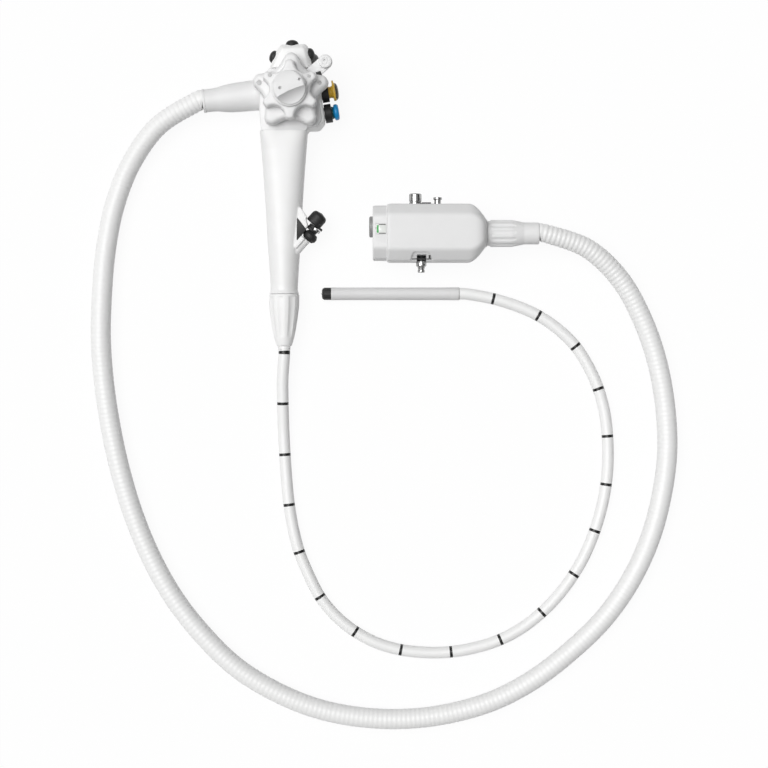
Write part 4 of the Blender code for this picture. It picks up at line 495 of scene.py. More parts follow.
# ribbed sheath: the coil inside shows as rolls 4.7 mm apart, strongest near both ends
def makeUniversalCord(spec):
    line = [Vector(p) / mm for p in spec["route"]]
    step = spec["ribPitch"] / spec["ringsPerRib"]
    points, stations = smoothRoute(line, lambda total: [
        total * k / round(total / step) for k in range(round(total / step) + 1)])
    total = stations[-1]
    radii = []
    for s in stations:
        nearEnd = max(0.0, 1 - min(s, total - s) / spec["endRun"])
        depth = spec["ribDepth"] + (spec["endRibDepth"] - spec["ribDepth"]) * nearEnd ** spec["endFade"]
        groove = math.cos(math.pi * s / spec["ribPitch"]) ** 2
        thinner = spec["endThinner"] * max(0.0, 1 - (total - s) / spec["thinRun"])
        radii.append(spec["diameter"] / 2 - thinner - depth * groove ** spec["grooveShape"])
    mesh, _ = tube(points, radii, spec["sides"])
    print("universal cord", round(total), "mm,", len(points), "rings")
    piece = addPiece("universalCordSheath", mesh, extrudedTube, ["universal_cord"], sharp=60)
    # the core runs on through the boot into the connector
    inside = points[-1] + (points[-1] - points[-2]).normalized() * spec["insideBoot"]
    path = [p * mm for p in points[::spec["ringsPerRib"]]] + [points[-1] * mm, inside * mm]
    return piece, path, total * mm


# lacquered tube; the rows of faces within half a band's width of a mark are printed black
def makeInsertionTube(spec):
    line = [Vector(p) / mm for p in spec["route"]]
    fine, places = smoothRoute(line, lambda total: [
        total * k / spec["fineSteps"] for k in range(spec["fineSteps"] + 1)])
    half = spec["bandWidth"] / 2
    middles = []
    for x, y in spec["bands"]:
        near = min(range(len(fine)), key=lambda k: (fine[k].xy - Vector((x, y))).length)
        middles.append(max(places[near], half + spec["firstBand"]))
    edges = [m + side * half for m in middles for side in (-1, 1)]
    regular = [s for s in (spec["step"] * k for k in range(1, int(places[-1] / spec["step"])))
               if min(abs(s - e) for e in edges) > spec["clear"]]
    stations = sorted(set([0.0, places[-1]] + edges + regular))
    points, stations = smoothRoute(line, lambda total: stations)
    mesh, faces = tube(points, [spec["diameter"] / 2] * len(points), spec["sides"])
    for (start, end), row in zip(zip(stations, stations[1:]), faces):
        if any(abs((start + end) / 2 - m) < half for m in middles):
            for face in row:
                face.material_index = 1
    print("insertion tube", round(places[-1]), "mm,", len(middles), "depth marks")
    piece = addPiece("insertionTubeSheath", mesh, [extrudedTube, markInk], ["insertion_tube"], sharp=60)
    return piece, [p * mm for p in points[::3]] + [points[-1] * mm], places[-1] * mm


cordPiece, cordPath, cordLength = makeUniversalCord(universalCord)
tubePiece, tubePath, tubeLength = makeInsertionTube(insertionTube)


# head

head = {
    "corners": [(-29.4, -36, 2), (16, -36, 2), (16.8, -33.6, 1.5), (27.5, -33.2, 6), (33.2, -26, 6),
                (27, 16, 6),
                (21, 25, 5), (-21, 25, 5), (-31, 15, 6), (-31, -16, 12)],
    "coverCorners": [(-29.4, -36, 0.2), (15.5, -36, 1.5), (16.3, -33.4, 1.5), (25.6, -32.8, 5),
                     (30.3, -25.5, 6), (25, 15, 6), (20.4, 24.7, 5), (-21, 25, 5), (-31, 15, 6),
                     (-31, -16, 12)],
    "solidFrom": 22, "shoulderRound": 1.8, "shoulderFrom": 15, "rim": 35.3, "wall": 2.5, "floor": 3,
    "rearRound": 4,
    "coverLow": 35.6, "coverHigh": 38, "coverEdge": 1.3, "squareBelow": -35.9,
    "boss": 15, "bossTop": 42.3, "bossEdge": 0.6, "bore": 6.2,
    "valveDirection": (0.9875, 0.1575, 0), "seats": [(32.4, -17.9, 19), (29.2, 2.2, 19)],
    "hole": 6.8, "holeDepth": 17}


def makeHead(spec):
    wall = spec["wall"]
    shell = slab(roundLine(spec["corners"], 5, 8), 0, spec["rim"], 0, spec["rearRound"], 6)
    # only the side walls right of the knobs are rounded, the top cover and the grip meet the rest
    shoulder = [e for e in edgesAt(shell, spec["rim"]) if all(v.co.x > spec["shoulderFrom"] for v in e.verts)]
    roundEdges(shell, shoulder, spec["shoulderRound"], 6)
    inner = roundLine([(min(x + (wall if x < 0 else -wall), spec["solidFrom"]),
                        y + (wall if y < 0 else -wall), 2)
                       for x, y, r in spec["corners"] if x < 16.5 or y > -30], 2, 5)
    hollow = slab(inner, spec["floor"], spec["rim"] + 2)
    holes = [turned(lathe([(0, -spec["holeDepth"]), (spec["hole"], -spec["holeDepth"]), (spec["hole"], 3),
                           (0, 3)],
                          40), seat, spec["valveDirection"]) for seat in spec["seats"]]
    addPiece("headShell", worked(shell, [hollow] + holes), mouldedWhite, ["head_housing"])
    cover = slab(roundLine(spec["coverCorners"], 5, 8), spec["coverLow"], spec["coverHigh"])
    roundEdges(cover, [e for e in edgesAt(cover, spec["coverHigh"])
                       if max(v.co.y for v in e.verts) > spec["squareBelow"]], spec["coverEdge"], 5)
    edge = spec["bossEdge"]
    boss = lathe([(0, spec["coverLow"] + 0.4), (spec["boss"], spec["coverLow"] + 0.4),
                  (spec["boss"], spec["bossTop"] - edge), (spec["boss"] - edge, spec["bossTop"]),
                  (0, spec["bossTop"])], 56)
    bore = lathe([(0, 34), (spec["bore"], 34), (spec["bore"], 44), (0, 44)], 40)
    # the cover takes the greyer knob white: painted shade of the knobs on the head's top
    addPiece("headFrontCover", worked(cover, [bore], [boss]), knobWhiteAndPaintedShade, ["head_front_cover"])


bootSocket = {
    "root": (-28, 1.4, 20), "end": (-87.9, -5.2, 20), "inner": 15.0, "outer": 16.1, "start": 2.9,
    "length": 10,
    "slant": 18.4, "slantAt": (-37.1, 1.9, 20), "wallX": -30.9, "endX": -37.4, "edgeRound": 0.5}


# hood on the head's left wall round the root of the cord boot, its end cut at a slant
def makeBootSocket(spec):
    low, high = spec["start"], spec["start"] + spec["length"]
    hood = lathe(roundLine([(spec["inner"], low), (spec["outer"], low), (spec["outer"], high),
                            (spec["inner"], high)], 0.01, 1), 72, True)
    hood = turned(hood, spec["root"], Vector(spec["end"]) - Vector(spec["root"]))
    slant = brick((-40, -40, 0), (40, 40, 30))
    slant.transform(Matrix.Translation(spec["slantAt"]) @ turnedAboutZ(spec["slant"])
                    @ Matrix.Rotation(math.radians(-90), 4, "Y"))
    wall = brick((spec["wallX"], -30, -5), (-10, 30, 60))
    cut = worked(hood, [slant, wall, brick((-60, -40, -5), (spec["endX"], 40, 60))])
    # the hood takes the greyer knob white: painted shade of the knob above it
    addPiece("bootSocket", worked(cut, edgeRound=spec["edgeRound"], segments=3, angle=40), knobWhiteAndPaintedShade,
             slotName="white_moulded_plastic", sharp=35)


makeHead(head)
makeBootSocket(bootSocket)

topCover = {
    "foot": [(-21, 25.3, 1.5), (21.5, 25.3, 1.5), (19.9, 30.5, 5), (16.5, 46.9, 2.5), (13.8, 49.6, 2.5),
             (-10.2, 48.9, 2.5), (-14.4, 43.6, 2.5), (-19.4, 31.1, 5)],
    "crest": [(-19.4, 25.3, 1.5), (19.6, 25.3, 1.5), (15.9, 31, 4), (12.7, 43.3, 2.5), (11, 45.2, 2.5),
              (-8.4, 44.6, 2.5), (-11, 41.2, 2.5), (-15.4, 30.4, 4)],
    "low": 0.3, "facetLow": 31.5, "high": 36.5, "edgeRound": 1.6, "pocket": 3.2, "hole": 6.8}
switches = {
    "radius": 6.5, "dome": 5.2, "rimHigh": 0.6, "skirt": 1.7, "stem": 5, "stemRadius": 3,
    "places": [  # seat, direction, extra height
        ((0.726, 48.953, 26.5), (-0.0226, 0.9997, 0), 0), ((-16.5, 37.25, 26.5), (-0.9416, 0.3368, 0), 0),
        ((17.816, 39.72, 26.5), (0.9806, 0.1961, 0), 0), ((18.36, 37.0, 10.5), (0.9806, 0.1961, 0), 3)]}


def makeTopCover(spec, buttons):
    foot, crest = roundLine(spec["foot"], 3, 6), roundLine(spec["crest"], 3, 6)
    mesh = skin([[Vector((*p.xy, z)) for p in outline] for outline, z in
                 ((foot, spec["low"]), (foot, spec["facetLow"]), (crest, spec["high"]))])
    cutters = []
    for seat, direction, _ in buttons["places"]:
        cutters.append(turned(lathe([(0, 4), (spec["hole"], 4), (spec["hole"], -spec["pocket"]),
                                     (0, -spec["pocket"])], 40), seat, direction))
    addPiece("headTopCover", worked(worked(mesh, edgeRound=spec["edgeRound"], segments=5, angle=28), cutters),
             mouldedWhite, ["head_top_cover"], sharp=30)


# rubber domes over the switch contacts, with a rolled rim at the foot
def makeSwitches(spec):
    r, rim, foot, stem = spec["radius"], spec["rimHigh"], -spec["skirt"], spec["stemRadius"]
    for number, (seat, direction, extra) in enumerate(spec["places"], 1):
        crown = spec["dome"] + extra
        dome = [(0, crown)] + [(r * 0.97 * math.sin(a), (crown - rim) * math.cos(a) ** 0.85 + rim)
                               for a in (math.radians(8 * k) for k in range(1, 12))]
        skirt = [(r, 0.5), (r, foot + 0.3), (r - 0.3, foot), (stem, foot), (stem, foot - spec["stem"]),
                 (0, foot - spec["stem"])]
        finish = greyRubber if number == 4 else blackRubber
        addPiece(f"switchDome{number}", turned(lathe(dome + skirt, 48), seat, direction), finish,
                 [f"remote_switch_{number}"], body=f"switch_{number}", sharp=50)


makeTopCover(topCover, switches)
makeSwitches(switches)
print("head done")


# knobs and brakes

# lobes lie between the scallops; tip says how wide each lobe is, fall how far it drops beside its middle
udKnob = {"name": "upDownKnob", "low": 42.6, "high": 56.1, "radius": 37.9, "scallop": 22.5, "centre": 49.3,
          "scallops": [-90, -18, 51.5, 125, 198], "fall": 11, "tip": 19, "round": 4.0, "footRound": 0.6,
          "draft": 0.6, "spread": 0.5, "blend": 1.4, "melt": 0.3, "bore": 6.2, "hub": 6,
          "dimples": [(15, 29.9, 1.9), (165.5, 31.0, 2.6)]}
rlKnob = {"name": "rightLeftKnob", "low": 56.7, "high": 69.7, "radius": 29.8, "scallop": 9.9, "centre": 30.6,
          "scallops": [0, 60, 120, 180, 240, 300], "fall": 6, "tip": 18, "round": 2.4, "footRound": 0.6,
          "draft": 0.7, "spread": -0.4, "blend": 0.7, "melt": 0.15, "bore": 4.5, "hub": 6,
          "dimples": [(32.4, 22.5, 1.6), (145, 23.0, 2.1)]}
brakeKnob = {"low": 70.3, "high": 83.8, "radius": 15.7, "round": 2.4, "flange": 17.5, "flangeHigh": 3,
             "barLow": 5.2, "barHigh": 8.5, "angle": 24, "scoopDrop": 5.0, "scoopAway": 11.3, "scoopBow": 1.4,
             "scoopHalf": 16, "slope": -22, "edgeRound": 0.7, "marks": (-8.2, 12.2), "markSide": 2.2}
lever = {"low": 38.6, "thick": 2.0, "ringInner": 15.3, "ringOuter": 19.3, "ringRise": 1.6, "reach": 45.5,
         "angle": 41, "aside": 0.9, "halfWidth": 6.9, "root": 1.2, "tab": 6.6, "tabTop": 45.4,
         "tabRound": 1.3,
         "pinAside": 1.0, "notchClear": 0.35}


# outline of a knob moved in by inset, with the meeting of lobe and scallop rounded
def lobedLoop(spec, inset, height, samples):
    points = []
    radius, hollow = spec["radius"] - inset, spec["scallop"] + inset
    following = spec["scallops"][1:] + [spec["scallops"][0] + 360]
    lobes = [(a + b) / 2 for a, b in zip(spec["scallops"], following)]
    for angle in turnsOf(samples):
        off = min(abs((math.degrees(angle) - lobe + 180) % 360 - 180) for lobe in lobes)
        terms = [radius - spec["fall"] * (1 - math.exp(-(off / spec["tip"]) ** 2))]
        for scallop in spec["scallops"]:
            turn = angle - math.radians(scallop)
            across = spec["centre"] * math.sin(turn)
            if abs(across) < hollow and math.cos(turn) > 0:
                terms.append(spec["centre"] * math.cos(turn) - math.sqrt(hollow ** 2 - across ** 2))
            elif math.cos(turn) > 0:
                terms.append(spec["centre"] * math.cos(turn) + 3 * (abs(across) - hollow))
        least = min(terms)
        blend = spec["blend"] + spec["melt"] * max(0, inset)
        soft = least - blend * math.log(sum(math.exp(-(t - least) / blend) for t in terms))
        points.append(polar(soft, angle, height))
    return points


def makeKnob(spec, node, samples=360):
    low, high, hub = spec["low"], spec["high"], spec["bore"] + spec["hub"]
    loops = []
    for k in range(7):
        turn = math.radians(90 * k / 6)
        loops.append(lobedLoop(spec, spec["footRound"] * (1 - math.sin(turn)) - spec["spread"],
                               low + spec["footRound"] * (1 - math.cos(turn)), samples))
    for k in range(11):
        turn = math.radians(90 * k / 10)
        loops.append(lobedLoop(spec, spec["draft"] - spec["spread"] + spec["round"] * (1 - math.cos(turn)),
                               high - spec["round"] * (1 - math.sin(turn)), samples))
    for radius, height in ((hub, high), (spec["bore"], high), (spec["bore"], low), (hub, low)):
        loops.append([polar(radius, t, height) for t in turnsOf(samples)])
    recesses, plugs = [], []
    for angle, away, r in spec["dimples"]:
        place = polar(away, math.radians(angle), high)
        recesses.append(turned(lathe([(0, -0.6), (r, -0.6), (r + 0.4, 0.2), (0, 0.2)], 32), place, (0, 0, 1)))
        plug = [(0, -1.6), (r - 0.1, -1.6), (r - 0.1, -0.45), (r * 0.6, -0.3), (0, -0.25)]
        plugs.append(turned(lathe(plug, 32), place, (0, 0, 1)))
    addPiece(spec["name"], worked(skin(loops, True), recesses), knobWhiteAndPaintedShade, [node], body=node, sharp=50)
    addPiece(spec["name"] + "Plugs", joined(*plugs), mouldedPlug, body=node, slotName="light_grey_plastic")


makeKnob(udKnob, "ud_knob")
makeKnob(rlKnob, "rl_knob")


# puck with a grip bar: the lower side drops in one step, the upper side slopes away
def makeBrakeKnob(spec):
    r, low, high, rim = spec["radius"], spec["low"], spec["high"], spec["round"]
    step = low + spec["flangeHigh"]
    side = roundLine([(spec["flange"], low, 0.5), (spec["flange"], step, 1.2), (r, step + 0.6, 0.6),
                      (r, high, 2.6)],
                     1, 5, False)[:-1]
    puck = lathe([(0, low)] + side + [(r - 0.02, high - rim)]
                 + arc(r - rim, high - rim, rim, range(10, 100, 10)) + [(0, high)], 96)
    # the scoop is steep at the bar and flattens towards the rim
    drop, away = spec["scoopDrop"], spec["scoopAway"]
    bow = [(math.hypot(drop, away) + spec["scoopBow"] * max(0, 1 - (x / spec["scoopHalf"]) ** 2), x)
           for x in range(-20, 21)]
    lower = lathe([(0, -20)] + bow + [(0, 20)], 160)
    lower.transform(Matrix.Translation((0, -spec["barLow"] - away, high + drop))
                    @ Matrix.Rotation(math.pi / 2, 4, "Y"))
    slope = brick((-40, 0, 0), (40, 40, 20))
    slope.transform(Matrix.Translation((0, spec["barHigh"], high))
                    @ Matrix.Rotation(math.radians(spec["slope"]), 4, "X"))
    marks = [turned(lathe([(0, -4), (1.1, -4), (1.2, -0.6), (1.9, 0.3), (0, 0.3)], 24),
                    (spot, spec["markSide"], high), (0, 0, 1)) for spot in spec["marks"]]
    for tool in [lower, slope] + marks:
        tool.transform(turnedAboutZ(spec["angle"]))
    shaped = worked(worked(puck, [lower, slope]), edgeRound=spec["edgeRound"], segments=4, angle=24)
    addPiece("brakeKnob", worked(shaped, marks), knobWhiteAndPaintedShade, ["rl_brake_knob"], body="rl_brake_knob",
             sharp=34)


stop = {"wall": (25.55, 21.55), "slide": 3.4, "long": 5.4, "deep": 4.6, "low": 22, "high": 41.2,
        "rail": [(-2.3, -1.6), (4, -1.6), (4, 1.4), (-2.3, 1.4)], "railHigh": 34}
wallAlong = Vector((0.5547, -0.832))
wallOut = Vector((0.832, 0.5547))


# diamond buffer on the head's corner wall, with clearance for the lever's notch
def stopOutline(clear=0.0):
    middle = Vector(stop["wall"]) + wallAlong * stop["slide"] + wallOut * 0.5
    a, b = stop["long"] / 2 + clear, stop["deep"] / 2 + clear
    corners = ((-a, -b), (a * 0.7, -b), (a, b * 0.7), (-a * 0.5, b))
    return roundLine([middle + wallAlong * x + wallOut * y for x, y in corners], 0.4, 2)


def makeStop(spec):
    foot = Vector(spec["wall"])
    rail = slab([foot + wallAlong * x + wallOut * y for x, y in spec["rail"]], spec["low"], spec["railHigh"])
    mesh = worked(rail, added=[slab(stopOutline(), spec["low"] + 4, spec["high"], 0.4, 0, 2)])
    addPiece("stopBlock", mesh, blackRubber, ["lever_stop_block"], sharp=35)


# thin arm with a round end, and the finger tab standing on it
def makeLever(spec):
    outer, inner, low = spec["ringOuter"], spec["ringInner"], spec["low"]
    top = low + spec["thick"] - 0.3
    ring = skin([[polar(r, t, z) for t in turnsOf(96)]
                 for r, z in ((outer, low), (outer, top + spec["ringRise"]), (inner, top + spec["ringRise"]),
                              (inner, low))], True)
    half, reach, root = spec["halfWidth"], spec["reach"], spec["root"]
    arm = [(inner + root, -half - root), (inner + 6, -half)] + arc(reach, 0, half, range(-90, 91, 9))
    arm += [(inner + 6, half), (inner + root, half + root)]
    arm = [(x, y + spec["aside"] * min(1, max(0, (x - inner - root) / 8))) for x, y in arm]
    plate = slab(arm, low, top, 0.5, 0, 3)
    crown, tabRound = spec["tabTop"], spec["tabRound"]
    tab = lathe([(0, low + 1), (spec["tab"], low + 1)]
                + arc(spec["tab"] - tabRound, crown - tabRound, tabRound, range(0, 91, 15))
                + [(3.3, crown), (3.0, crown - 0.4), (2.6, crown - 0.4), (2.2, crown), (0, crown)], 56)
    tab.transform(Matrix.Translation((reach, spec["aside"], 0)))
    pin = lathe([(0, crown - 2.6), (0.9, crown - 2.4), (1.3, crown + 1), (0, crown + 1)], 20)
    pin.transform(Matrix.Translation((reach, spec["aside"] + spec["pinAside"], 0)))
    notch = slab(stopOutline(spec["notchClear"]), low - 2, low + 5)
    notch.transform(turnedAboutZ(-spec["angle"]))
    mesh = worked(plate, [pin, notch], [ring, tab])
    mesh.transform(turnedAboutZ(spec["angle"]))
    addPiece("brakeLever", mesh, knobWhiteAndPaintedShade, ["ud_brake_lever"], body="ud_brake_lever", sharp=35)


makeBrakeKnob(brakeKnob)
makeLever(lever)
makeStop(stop)
print("knobs done")


# valves

valves = {"collar": 9.3, "collarLength": 7.3, "buttonIn": 1.3, "inner": 8.4, "floor": 2.5, "cylinder": 6.8}


def makeValves(spec):
    direction = head["valveDirection"]
    airSeat, suctionSeat = head["seats"]
    radius, inner, bore = spec["collar"], spec["inner"], spec["cylinder"]
    length, floor = spec["collarLength"], spec["floor"]
    outline = roundLine([(radius, 0.3, 0.5), (radius, length, 1.2), (inner, length, 0.5), (inner, floor, 0.4),
                         (bore, floor, 0.2), (bore, 0.3, 0.2)], 0.4, 4)
    for name, node, seat in (("airWaterCollar", "air_water_collar", airSeat),
                             ("suctionCollar", "suction_collar", suctionSeat)):
        addPiece(name, turned(lathe(outline, 56, True), seat, direction), blackRubber, [node])
    # air and water: teal neck, blue cap with a shallow hollow for the fingertip
    neck = lathe([(0, 8.7), (6.1, 8.7), (6.4, 9.1), (6.0, 9.8), (5.8, 10.4), (0, 10.4)], 48)
    airButton, suctionButton = [Vector(seat) - Vector(direction) * spec["buttonIn"]
                                for seat in (airSeat, suctionSeat)]
    addPiece("airWaterNeck", turned(neck, airButton, direction), tealRubber, body="air_water_valve",
             slotName="blue_plastic")
    rim = roundLine([(3, 15.9), (8, 15.5, 2.6), (8, 11.2, 1.3), (5.7, 10.8, 0.9), (5.3, 9.4)], 1, 6, False)
    cap = lathe([(0, 15.7)] + rim + [(0, 9.4)], 56)
    addPiece("airWaterCap", turned(cap, airButton, direction), blueAcetal, ["air_water_button"],
             body="air_water_valve")
    # suction: yellow neck, flange with a small tab on its rim, smoked cap on top
    waist = [(6.5 - 0.9 * math.sin(math.radians(30 * k)), 8.2 + 0.75 * k) for k in range(7)]
    rim = roundLine([(6.4, 12.9), (9.2, 12.9, 0.5), (9.2, 15.3, 0.5), (6, 15.3)], 0.5, 3, False)
    flange = lathe([(0, 7.6), (6.0, 7.6)] + waist + rim + [(0, 15.3)], 56)
    addPiece("suctionNeck", turned(flange, suctionButton, direction), yellowAcetal, ["suction_button"],
             body="suction_valve")
    outline = roundLine([(-1.6, -1.6), (1.6, -1.6), (1.6, 1.7), (-1.6, 1.7)], 0.6, 3)
    tab = slab(outline, 12.9, 14.6, 0.3, 0.3, 2)
    tab.transform(Matrix.Translation((9.6, 0, 0)))
    addPiece("suctionTab", turned(tab, suctionButton, direction), yellowAcetal, body="suction_valve",
             slotName="yellow_plastic")
    dome = lathe([(0, 18.5), (3, 18.45), (5.4, 18.1), (7.2, 17.4), (8.3, 16.4), (8.6, 15.6), (8.4, 15.35),
                  (0, 15.35)], 56)
    addPiece("suctionCap", turned(dome, suctionButton, direction), smokedCap, body="suction_valve",
             slotName="yellow_plastic")


makeValves(valves)
print("valves done")


# grip and channel port

grip = {
    "axisX": -7.7, "top": -36, "length": 160,
    "sections": [  # share of the length, width, depth, squareness
        (-0.03, 46.9, 38.0, 8.0), (0.002, 46.6, 38.0, 8.0), (0.02, 46.2, 37.7, 6.4), (0.05, 45.8, 37.2, 4.6),
        (0.109, 44.4, 36.2, 3.2), (0.219, 41.6, 34.8, 2.7), (0.31, 39.6, 33.9, 2.55), (0.406, 37.6, 33, 2.4),
        (0.5, 35.7, 32.2, 2.3), (0.594, 34.0, 31.4, 2.2), (0.69, 32.4, 30.7, 2.1), (0.781, 30.4, 29.7, 2.0),
        (0.87, 28.5, 28.7, 2.0), (0.95, 26.9, 27.6, 2.0), (0.979, 26.8, 27.6, 2.0), (0.991, 28.6, 28.6, 2.0),
        (1.0, 29.4, 29.4, 2.0)],
    "foot": (3.8, -152.64, 20), "angle": 48.2, "sleeve": 5.4, "sleeveLength": 14.6,
    "webArm": [(1, 0), (14.4, 0), (14.4, 6.2), (25.8, 6.2), (29.9, 12.25), (32, 13.05)],  # along, aside
    "webWall": [(5.8, 41.6), (-1.8, 42.6), (-3.8, 5.6)],  # from the foot
    "webLow": 15, "webHigh": 27.9, "insertTop": 27.0, "insertThick": 4.2, "joint": -36.1,
    "insert": [(5.4, -120.4), (5.1, -144.2), (15.0, -132.9)], "insertMiddle": (8.1, -132.3),
    "insertShare": 0.95,
    "voxel": 0.55, "soften": 9}
along = Vector((math.cos(math.radians(grip["angle"])), math.sin(math.radians(grip["angle"])), 0))
aside = Vector((-along.y, along.x, 0))


def portPoint(distance, sideways=0.0):
    return Vector(grip["foot"]) + along * distance + aside * sideways


def makeGrip(spec):
    loops = []
    for share, width, depth, square in spec["sections"]:
        loop = []
        for turn in turnsOf(96):
            c, s = math.cos(turn), math.sin(turn)
            loop.append(Vector((spec["axisX"] + math.copysign(abs(c) ** (2 / square), c) * width / 2,
                                spec["top"] - share * spec["length"],
                                depth / 2 + math.copysign(abs(s) ** (2 / square), s) * depth / 2)))
        loops.append(loop)
    body = skin(loops)
    sleeve = turned(lathe([(0, -2), (spec["sleeve"], -2), (spec["sleeve"], spec["sleeveLength"]),
                           (0, spec["sleeveLength"])], 48), spec["foot"], along)
    foot = Vector(spec["foot"][:2])
    corners = [portPoint(*p).xy for p in spec["webArm"]] + [foot + Vector(p) for p in spec["webWall"]]
    web = slab(roundLine(corners, 1.2, 3), spec["webLow"], spec["webHigh"])
    triangle = roundLine(spec["insert"], 0.5, 3)
    recess = slab(triangle, spec["insertTop"] - spec["insertThick"] - 0.2, spec["webHigh"] + 3)
    # the arm flows into the grip; the top is then cut flat where it meets the head
    blended = worked(body, added=[sleeve, web], voxel=spec["voxel"], soften=spec["soften"])
    everything = blended.verts[:] + blended.edges[:] + blended.faces[:]
    bmesh.ops.bisect_plane(blended, geom=everything, plane_co=(0, spec["joint"], 0), plane_no=(0, 1, 0),
                           clear_outer=True)
    bmesh.ops.holes_fill(blended, edges=[e for e in blended.edges if e.is_boundary], sides=0)
    addPiece("gripShell", worked(blended, [recess]), mouldedWhite, ["grip_housing"], sharp=50)
    middle = Vector(spec["insertMiddle"])
    inset = slab([middle + (p - middle) * spec["insertShare"] for p in triangle],
                 spec["insertTop"] - spec["insertThick"], spec["insertTop"], 0.3, 0, 2)
    addPiece("portInsert", inset, blackRubber, ["port_web_insert"])


# each place is a distance along the port's arm and one across it
port = {"base": (14.9, -1.7), "mouth": (24.2, -1.3), "body": (24.15, 1.5), "crease": (30.5, -6.5),
        "capRadius": 8.1, "capLength": 13.9, "capAside": 10.9, "plugAside": 6.5, "strapThick": 2.2}


def makePort(spec):
    side = roundLine([(4.0, 0, 0.5), (5.4, 0.4, 0.8), (7.4, 3, 1.2), (7.4, 6, 1.2), (5.4, 9, 0.8), (2.6, 9)],
                     1, 5, False)
    ring = lathe([(0, 0)] + side + [(2.6, 1), (0, 1)], 56)
    addPiece("portBaseRing", turned(ring, portPoint(*spec["base"]), along), blackRubber, ["port_base_ring"])
    throat = [(2.9, 0), (2.9, 2.7), (5.1, 2.7, 0.4), (5.1, 5.6, 0.5), (2.1, 5.6, 0.3), (2.1, 0, 0.2)]
    mouth = lathe(roundLine(throat, 0.2, 4), 56, True)
    addPiece("portMouth", turned(mouth, portPoint(*spec["mouth"]), along), turnedSteel,
             ["channel_mouthpiece"])
    stopper = [(6.2, 0, 0.5), (6.2, 2.6, 0.7), (5.2, 2.7, 0.3), (5.2, 5.9, 0.7), (2.3, 5.9, 0.3),
               (2.3, 0, 0.2)]
    body = lathe(roundLine(stopper, 0.3, 4), 56, True)
    addPiece("valveBody", turned(body, portPoint(*spec["body"]), along), blackRubber, ["biopsy_valve_body"])
    # cap, made with its hinge crease on the origin and its disc towards +X
    r, length = spec["capRadius"], spec["capLength"]
    dome = lathe([(0, 0)] + roundLine([(r - 0.6, 0, 0.6), (r, 1.0, 0.6), (r, length - 4.4, 3.2),
                                       (r * 0.84, length - 1.6, 3.2), (0, length)], 1, 6, False), 64)
    dome.transform(Matrix.Translation((spec["capAside"], 0, 0)))
    plug = lathe([(0, -2.4), (1.8, -2.4), (2.2, -1.8), (2.2, 1), (0, 1)], 32)
    plug.transform(Matrix.Translation((spec["plugAside"], 0, 0)))
    strap = slab(roundLine([(-0.2, -2.5), (7, -2.5), (7, 2.5), (-0.2, 2.5)], 0.4, 2), 0, spec["strapThick"],
                 0.4, 0, 3)
    cap = worked(dome, added=[plug, strap])
    axes = Matrix((aside, Vector((0, 0, -1)), along)).transposed().to_4x4()
    cap.transform(Matrix.Translation(portPoint(*spec["crease"])) @ axes)
    addPiece("valveCap", cap, blackRubber, ["biopsy_valve_cap"], body="biopsy_cap", sharp=45)


makeGrip(grip)
makePort(port)
print("grip and port done")


# boots

# loops along Z from (distance, radius, groove depth, groove width share); each groove is a soft trough
def fluted(stations, flutes, sides):
    loops = []
    for distance, radius, depth, share in stations:
        loop = []
        for k, turn in enumerate(turnsOf(sides)):
            across = ((k * flutes / sides + 0.5) % 1 - 0.5) / (share / 2)
            trough = math.cos(math.pi * across / 2) ** 0.8 if abs(across) < 1 else 0.0
            loop.append(polar(radius - depth * trough, turn, distance))
        loops.append(loop)
    return loops


insertionBoot = {"start": (-7.7, -196.3, 15), "length": 51, "flutes": 8, "depth": 1.0, "share": 0.62,
                 "fluteEnd": 43,
                 "radii": [(0, 14.3), (0.8, 14.9), (12, 14.8), (23, 13.35), (35, 11.5), (43, 9.9),
                           (49.8, 7.9), (51, 7.4)]}
connectorBoot = {"start": (193.1, -136.8, 28.1), "length": 51, "flutes": 12, "depth": 0.8, "share": 0.62,
                 "fluteMiddle": 15.4, "fluteReach": 12.6,
                 "radii": [(0, 11.9), (2.6, 12.5), (3.4, 13.3), (24, 13.3), (26, 12.9), (36, 10.8),
                           (50.2, 10.8), (51, 10.2)]}


# value between knots of (distance, value)
def straight(knots, distance):
    for (d0, v0), (d1, v1) in zip(knots, knots[1:]):
        if distance <= d1:
            return v0 + (v1 - v0) * (distance - d0) / (d1 - d0)
    return knots[-1][1]


def makeBoots(a, b):
    stations = []
    for k in range(103):
        d = a["length"] * k / 102
        soft = sum(straight(a["radii"], min(max(d + s, 0), a["length"])) for s in (-2, -1, 0, 1, 2)) / 5
        edge = straight(a["radii"], d)
        radius = edge if d < 3 or d > a["length"] - 3 else soft
        depth = a["depth"] * max(0, min(1, (d - 1.5) / 2)) * max(0, min(1, (a["fluteEnd"] - d) / 9)) ** 0.6
        stations.append((d, radius, depth, a["share"]))
    boot = skin(fluted(stations, a["flutes"], 288))
    addPiece("insertionBoot", turned(boot, a["start"], (0, -1, 0), math.radians(11.25)), siliconeWhite,
             ["insertion_boot"], sharp=45)
    outline = roundLine([(4.2, 51.3), (6.2, 51.3, 0.4), (6.2, 54.8, 0.6), (4.2, 54.8)], 0.3, 4)
    collar = lathe(outline, 56, True)
    addPiece("bootCollar", turned(collar, a["start"], (0, -1, 0)), mouldedWhite, ["boot_collar"],
             slotName="white_moulded_plastic")
    stations = []
    for k in range(103):
        d = b["length"] * k / 102
        off = abs(d - b["fluteMiddle"]) / b["fluteReach"]
        depth, share = 0, 0.01
        if off < 1:
            depth, share = b["depth"] * (1 - off ** 8) ** 0.5, b["share"] * (1 - off ** 10) ** 0.5
        stations.append((d, straight(b["radii"], d), depth, share))
    boot = skin(fluted(stations, b["flutes"], 288))
    return addPiece("connectorBoot", turned(boot, b["start"], (1, 0, 0)), siliconeGrey, ["connector_boot"],
                    sharp=45)


